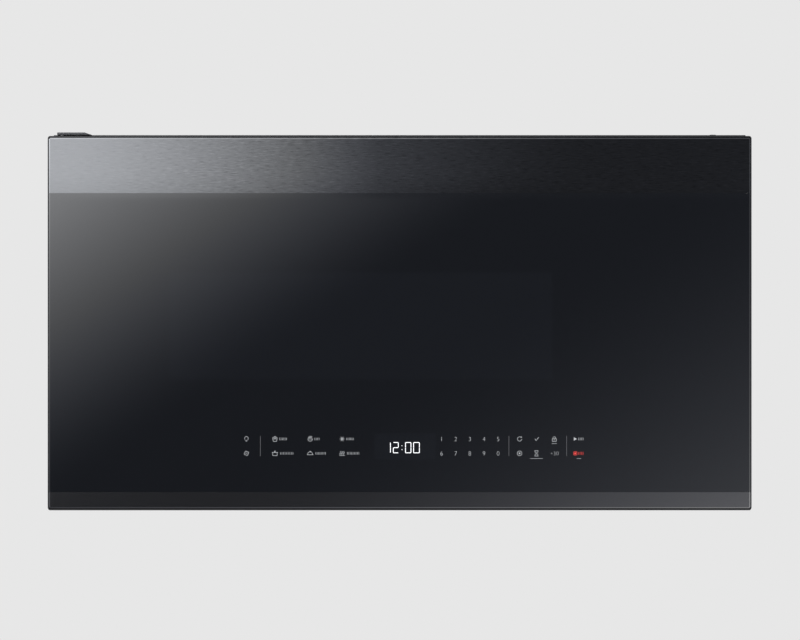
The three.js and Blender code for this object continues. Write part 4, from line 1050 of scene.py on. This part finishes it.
class MICROWAVE_OT_casing(bpy.types.Operator):
    """Makes the casing, its stamped back, the hinge cover and the screws"""

    bl_idname = "microwave.casing"
    bl_label = "Casing"

    def execute(self, context):
        casing = context.scene.microwave_casing
        softened("cabinet_wrap", casing.softening, "casing")
        softened("base_pan", casing.softening, "casing")
        softened("front_frame", 0.3 * MM, "casing")
        softened("hinge_cover", 0.6 * MM, "hinge_cap")
        softened("vent_louvre", 0.5 * MM, "black_plastic")
        softened("upper_hinge_bracket", 0.3 * MM, "black_screw")
        softened("lower_hinge_bracket", 0.3 * MM, "black_screw")
        dress("rubber", "cord_gland")
        self.back()
        self.blanking_plate()
        self.screws()
        return {"FINISHED"}

    def back(self):
        """The galvanised back, with the hanging slots and pressed stiffening beads."""
        low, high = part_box("rear_panel")
        slots = [((x - 0.021, x + 0.021), (low.z + 0.0185, low.z + 0.0255)) for x in (-0.25, 0.25)]
        beads = [((-0.30, 0.30), (z - 0.007, z + 0.007)) for z in (0.105, 0.025, -0.055, -0.135)]
        beads += [((x - 0.006, x + 0.006), (-0.15, 0.15)) for x in (-0.346, 0.346)]
        bm = stamped((low.x, high.x), (low.z, high.z), slots, beads, high.y - low.y, 2.2 * MM)
        stand_up = Matrix(((1, 0, 0, 0), (0, 0, 1, high.y), (0, 1, 0, 0), (0, 0, 0, 1)))
        bmesh.ops.transform(bm, matrix=stand_up, verts=bm.verts[:])
        face_outwards(bm)
        keep(bm, "rear_panel_stamped", "galvanised", "cabinet", ("rear_panel",), 25.0)

    def blanking_plate(self):
        """The plate that closes the rear exhaust while the oven vents at the top."""
        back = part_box("rear_panel")[1].y
        bm = box_between((-0.136, back - 0.2 * MM, 0.134), (0.136, back + 1.2 * MM, 0.184))
        bevel(bm, edges_along(bm, 1, MM), 5 * MM, 5)
        rim = [e for e in bm.edges
               if all(v.co.y > back + MM for v in e.verts) and e.calc_face_angle(0.0) > 1]
        bevel(bm, rim, 0.4 * MM)
        keep(bm, "exhaust_blanking_plate", "galvanised", "cabinet", smooth=35.0)

    def screws(self):
        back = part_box("rear_panel")[1].y
        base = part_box("base_pan")[0].z + 1.6 * MM
        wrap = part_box("cabinet_wrap")[1]
        places = [((x, back, z), (0, 1, 0))
                  for x in (-0.362, -0.19, 0.0, 0.19, 0.362) for z in (-0.191, 0.193)]
        places += [((x, back, z), (0, 1, 0)) for z in (-0.11, 0.0, 0.11) for x in (-0.366, 0.366)]
        places += [((x, back + 1.2 * MM, z), (0, 1, 0))
                   for x in (-0.128, 0.0, 0.128) for z in (0.141, 0.177)]
        self.screw_set("back_screws", "zinc", places)
        places = []
        for x in (-0.34, 0.34):
            places += [((x, y, base), (0, 0, -1)) for y in (-0.345, -0.19, -0.02)]
            places += [((x, y, wrap.z), (0, 0, 1)) for y in (-0.20, -0.03)]
        for side in (-1, 1):
            places += [((side * wrap.x, y, z), (side, 0, 0))
                       for y, z in ((-0.33, -0.18), (-0.03, -0.18), (-0.03, 0.18))]
        self.screw_set("casing_screws", "black_screw", places)

    def screw_set(self, name, finish, places):
        bm = bmesh.new()
        for place, out in places:
            self.screw(bm, Vector(place), Vector(out))
        face_outwards(bm)
        keep(bm, name, finish, "cabinet", smooth=30.0)

    def screw(self, bm, place, out):
        """A pan head with a round recess."""
        turn = Vector((0, 0, 1)).rotation_difference(out).to_matrix().to_4x4()
        matrix = Matrix.Translation(place) @ turn @ Matrix.Translation((0, 0, 0.75 * MM))
        head = bmesh.ops.create_cone(bm, cap_ends=True, segments=18, radius1=3.6 * MM,
                                     radius2=3.4 * MM, depth=1.9 * MM, matrix=matrix)["verts"]

        def outermost(faces):
            return max(faces, key=lambda f: f.calc_center_median().dot(out))

        bevel(bm, outermost({f for v in head for f in v.link_faces}).edges[:], 0.7 * MM)
        cap = outermost(f for f in bm.faces if len(f.verts) == 18
                        and (f.calc_center_median() - place).length < 4 * MM)
        bmesh.ops.inset_region(bm, faces=[cap], thickness=1.2 * MM, depth=0, use_even_offset=True)
        made = bmesh.ops.extrude_face_region(bm, geom=[cap])
        bmesh.ops.delete(bm, geom=[cap], context="FACES_ONLY")
        bmesh.ops.translate(bm, verts=new_verts(made), vec=-out * 1.1 * MM)


# --- hood


def lattice(low, high, pitch, strand, lift):
    """Expanded mesh: diamonds of thin strands across a rectangle."""
    bm = bmesh.new()
    reach = math.hypot(high.x - low.x, high.y - low.y)
    cells = round(reach / pitch)
    wide, flat = 1.25, 0.62  # the grid's margin, and a diamond's height for its width
    matrix = Matrix.Translation(((low.x + high.x) / 2, (low.y + high.y) / 2, lift))
    matrix @= Matrix.Diagonal((1, flat, 1, 1)) @ Matrix.Rotation(math.pi / 4, 4, "Z")
    matrix @= Matrix.Diagonal((wide, wide, 1, 1))
    bmesh.ops.create_grid(bm, x_segments=cells, y_segments=cells, size=reach / 2, matrix=matrix)
    for corner, out in ((low, (-1, 0)), (high, (1, 0)), (low, (0, -1)), (high, (0, 1))):
        cut(bm, (corner.x, corner.y, 0), (*out, 0), clear_outer=True)
    openings = [f for f in bm.faces if f.calc_area() > 0.3 * pitch * pitch]
    bmesh.ops.inset_individual(bm, faces=openings, thickness=strand, use_even_offset=True)
    bmesh.ops.delete(bm, geom=openings, context="FACES")
    bmesh.ops.solidify(bm, geom=bm.faces[:], thickness=0.5 * MM)
    face_outwards(bm)
    return bm


class MICROWAVE_OT_hood(bpy.types.Operator):
    """Makes the grease filters, the cooktop lamps and the fan's housing"""

    bl_idname = "microwave.hood"
    bl_label = "Hood"

    def execute(self, context):
        pitch = context.scene.microwave_casing.strand_pitch
        for side in ("left", "right"):
            softened("grease_filter_frame_" + side, 0.4 * MM, "aluminium")
            self.strands(side, pitch)
            softened("cooktop_lamp_lens_" + side, 0.5 * MM, "lens")
        dress("white_plastic", "cooktop_lamp_holder_left", "cooktop_lamp_holder_right")
        dress("black_plastic", "blower_housing", "blower_wheel_left", "blower_wheel_right")
        dress("galvanised", "exhaust_duct")
        dress("steel", "blower_motor")
        dress("charcoal", "charcoal_filter")
        return {"FINISHED"}

    def strands(self, side, pitch):
        """A filter's mesh: a fine layer below and a coarser one above."""
        node = "grease_filter_mesh_" + side
        low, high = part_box(node)
        bm = lattice(low, high, pitch, 0.45 * MM, low.z + 0.3 * MM)
        upper = lattice(low, high, pitch * 1.3, 0.5 * MM, high.z - 0.7 * MM)
        spare = bpy.data.meshes.new("upper")
        upper.to_mesh(spare)
        upper.free()
        bm.from_mesh(spare)
        bpy.data.meshes.remove(spare)
        keep(bm, node + "_strands", "aluminium", "grease_filter_" + side, (node,), 0)


# --- oven


class MICROWAVE_OT_oven(bpy.types.Operator):
    """Makes the turntable and finishes the cavity and what stands beside it"""

    bl_idname = "microwave.oven"
    bl_label = "Oven"

    def execute(self, context):
        self.tray()
        self.vents()
        dress("enamel", "cavity_box")
        dress("mica", "mica_cover")
        dress("steel", "turntable_motor", "waveguide", "magnetron", "transformer_core",
              "cooling_fan_motor")
        dress("aluminium", "hv_capacitor")
        dress("winding", "transformer_windings")
        dress("lens", "cavity_lamp")
        dress("black_plastic", "cooling_fan_shroud", "cooling_fan_blade", "latch_board")
        dress("white_plastic", "turntable_coupler", "roller_ring", "roller_1", "roller_2",
              "roller_3", "interlock_switch_upper", "interlock_switch_lower",
              "switch_plunger_upper", "switch_plunger_lower")
        return {"FINISHED"}

    def vents(self):
        """Perforated air inlet and outlet on the cavity's side walls."""
        low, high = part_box("cavity_box")
        wall, gap, sheet = 1.2 * MM, 0.05 * MM, 0.3 * MM
        right, left = high.x - wall - gap, low.x + wall + gap
        for name, x, y, z in (
            ("inlet", (right - sheet, right), (-0.118, -0.058), (0.055, 0.089)),
            ("outlet", (left, left + sheet), (-0.300, -0.200), (0.062, 0.089)),
        ):
            bm = box_between(*zip(x, y, z))
            bevel(bm, edges_along(bm, 0, sheet / 2), 4 * MM, 4)
            keep(bm, "cavity_air_" + name, "vent_screen", "cabinet", smooth=0)

    def tray(self):
        """Pressed glass: raised lip, sloping edge, rings moulded under the flat, three pegs."""
        low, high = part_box("glass_tray")
        centre = (low + high) / 2
        radius = (high.x - low.x) / 2
        peg, peg_circle = 4.0 * MM, 20 * MM
        bottom, top = low.z + peg, high.z
        outline = [(radius - inwards * MM, level + rise * MM) for inwards, level, rise in (
            (20, bottom, 0), (4, top, -5.6), (0.6, top, -1.6), (0, top, -0.8), (0.9, top, 0),
            (4.6, top, 0), (6, top, -0.9), (22, bottom, 5),
        )]
        outline += [(r * MM, bottom + rise * MM) for r, rise in (
            (60, 5), (59, 5.5), (57, 5.5), (56, 5), (0.2, 5), (0.2, 0),
        )]
        outline += [(radius - inwards * MM, bottom - drop * MM) for inwards, drop in (
            (52, 0), (51, 0.4), (49, 0.4), (48, 0),
        )]
        bm = bmesh.new()
        side = Vector((0, 0, 1)).orthogonal().normalized()
        middle = Vector((centre.x, centre.y, 0))
        verts = [bm.verts.new(middle + side * r + Vector((0, 0, h))) for r, h in outline]
        edges = [bm.edges.new((verts[i - 1], verts[i])) for i in range(len(verts))]
        bmesh.ops.spin(bm, geom=verts + edges, cent=middle, axis=(0, 0, 1), angle=math.tau,
                       steps=96, use_merge=True)
        bmesh.ops.remove_doubles(bm, verts=bm.verts[:], dist=TOUCH)
        for turn in (60, 180, 300):
            out = Matrix.Rotation(math.radians(turn), 4, "Z") @ Vector((peg_circle, 0, 0))
            place = Matrix.Translation(middle + out + Vector((0, 0, bottom - peg / 2)))
            bmesh.ops.create_cone(bm, cap_ends=True, segments=20, radius1=2.3 * MM,
                                  radius2=2.5 * MM, depth=peg, matrix=place)
        face_outwards(bm)
        keep(bm, "glass_tray_pressed", "clear_glass", "turntable", ("glass_tray",))


# --- add-on


GROUPS = {
    "microwave_door": DoorSettings,
    "microwave_casing": CasingSettings,
    "microwave_stage": StageSettings,
}
OPERATORS = (
    MICROWAVE_OT_stage,
    MICROWAVE_OT_door_face,
    MICROWAVE_OT_key_print,
    MICROWAVE_OT_door_inside,
    MICROWAVE_OT_casing,
    MICROWAVE_OT_hood,
    MICROWAVE_OT_oven,
)


class MICROWAVE_PT_panel(bpy.types.Panel):
    """Lists the oven's sizes, colours and builders"""

    bl_idname = "MICROWAVE_PT_panel"
    bl_label = "Microwave"
    bl_space_type = "VIEW_3D"
    bl_region_type = "UI"
    bl_category = "Microwave"

    def draw(self, context):
        for name, group in GROUPS.items():
            box = self.layout.box()
            for key in group.__annotations__:
                box.prop(getattr(context.scene, name), key)
        for operator in OPERATORS:
            self.layout.operator(operator.bl_idname)


def register():
    for name, group in GROUPS.items():
        bpy.utils.register_class(group)
        setattr(bpy.types.Scene, name, bpy.props.PointerProperty(type=group))
    for cls in (*OPERATORS, MICROWAVE_PT_panel):
        bpy.utils.register_class(cls)


def unregister():
    for cls in reversed((*OPERATORS, MICROWAVE_PT_panel)):
        bpy.utils.unregister_class(cls)
    for name, group in GROUPS.items():
        delattr(bpy.types.Scene, name)
        bpy.utils.unregister_class(group)


def main():
    register()
    scene = bpy.context.scene
    make_finishes(scene.microwave_door, scene.microwave_casing)
    bpy.ops.microwave.stage()
    bpy.ops.microwave.door_face()
    bpy.ops.microwave.key_print()
    bpy.ops.microwave.door_inside()
    bpy.ops.microwave.casing()
    bpy.ops.microwave.hood()
    bpy.ops.microwave.oven()


if __name__ == "__main__":
    main()
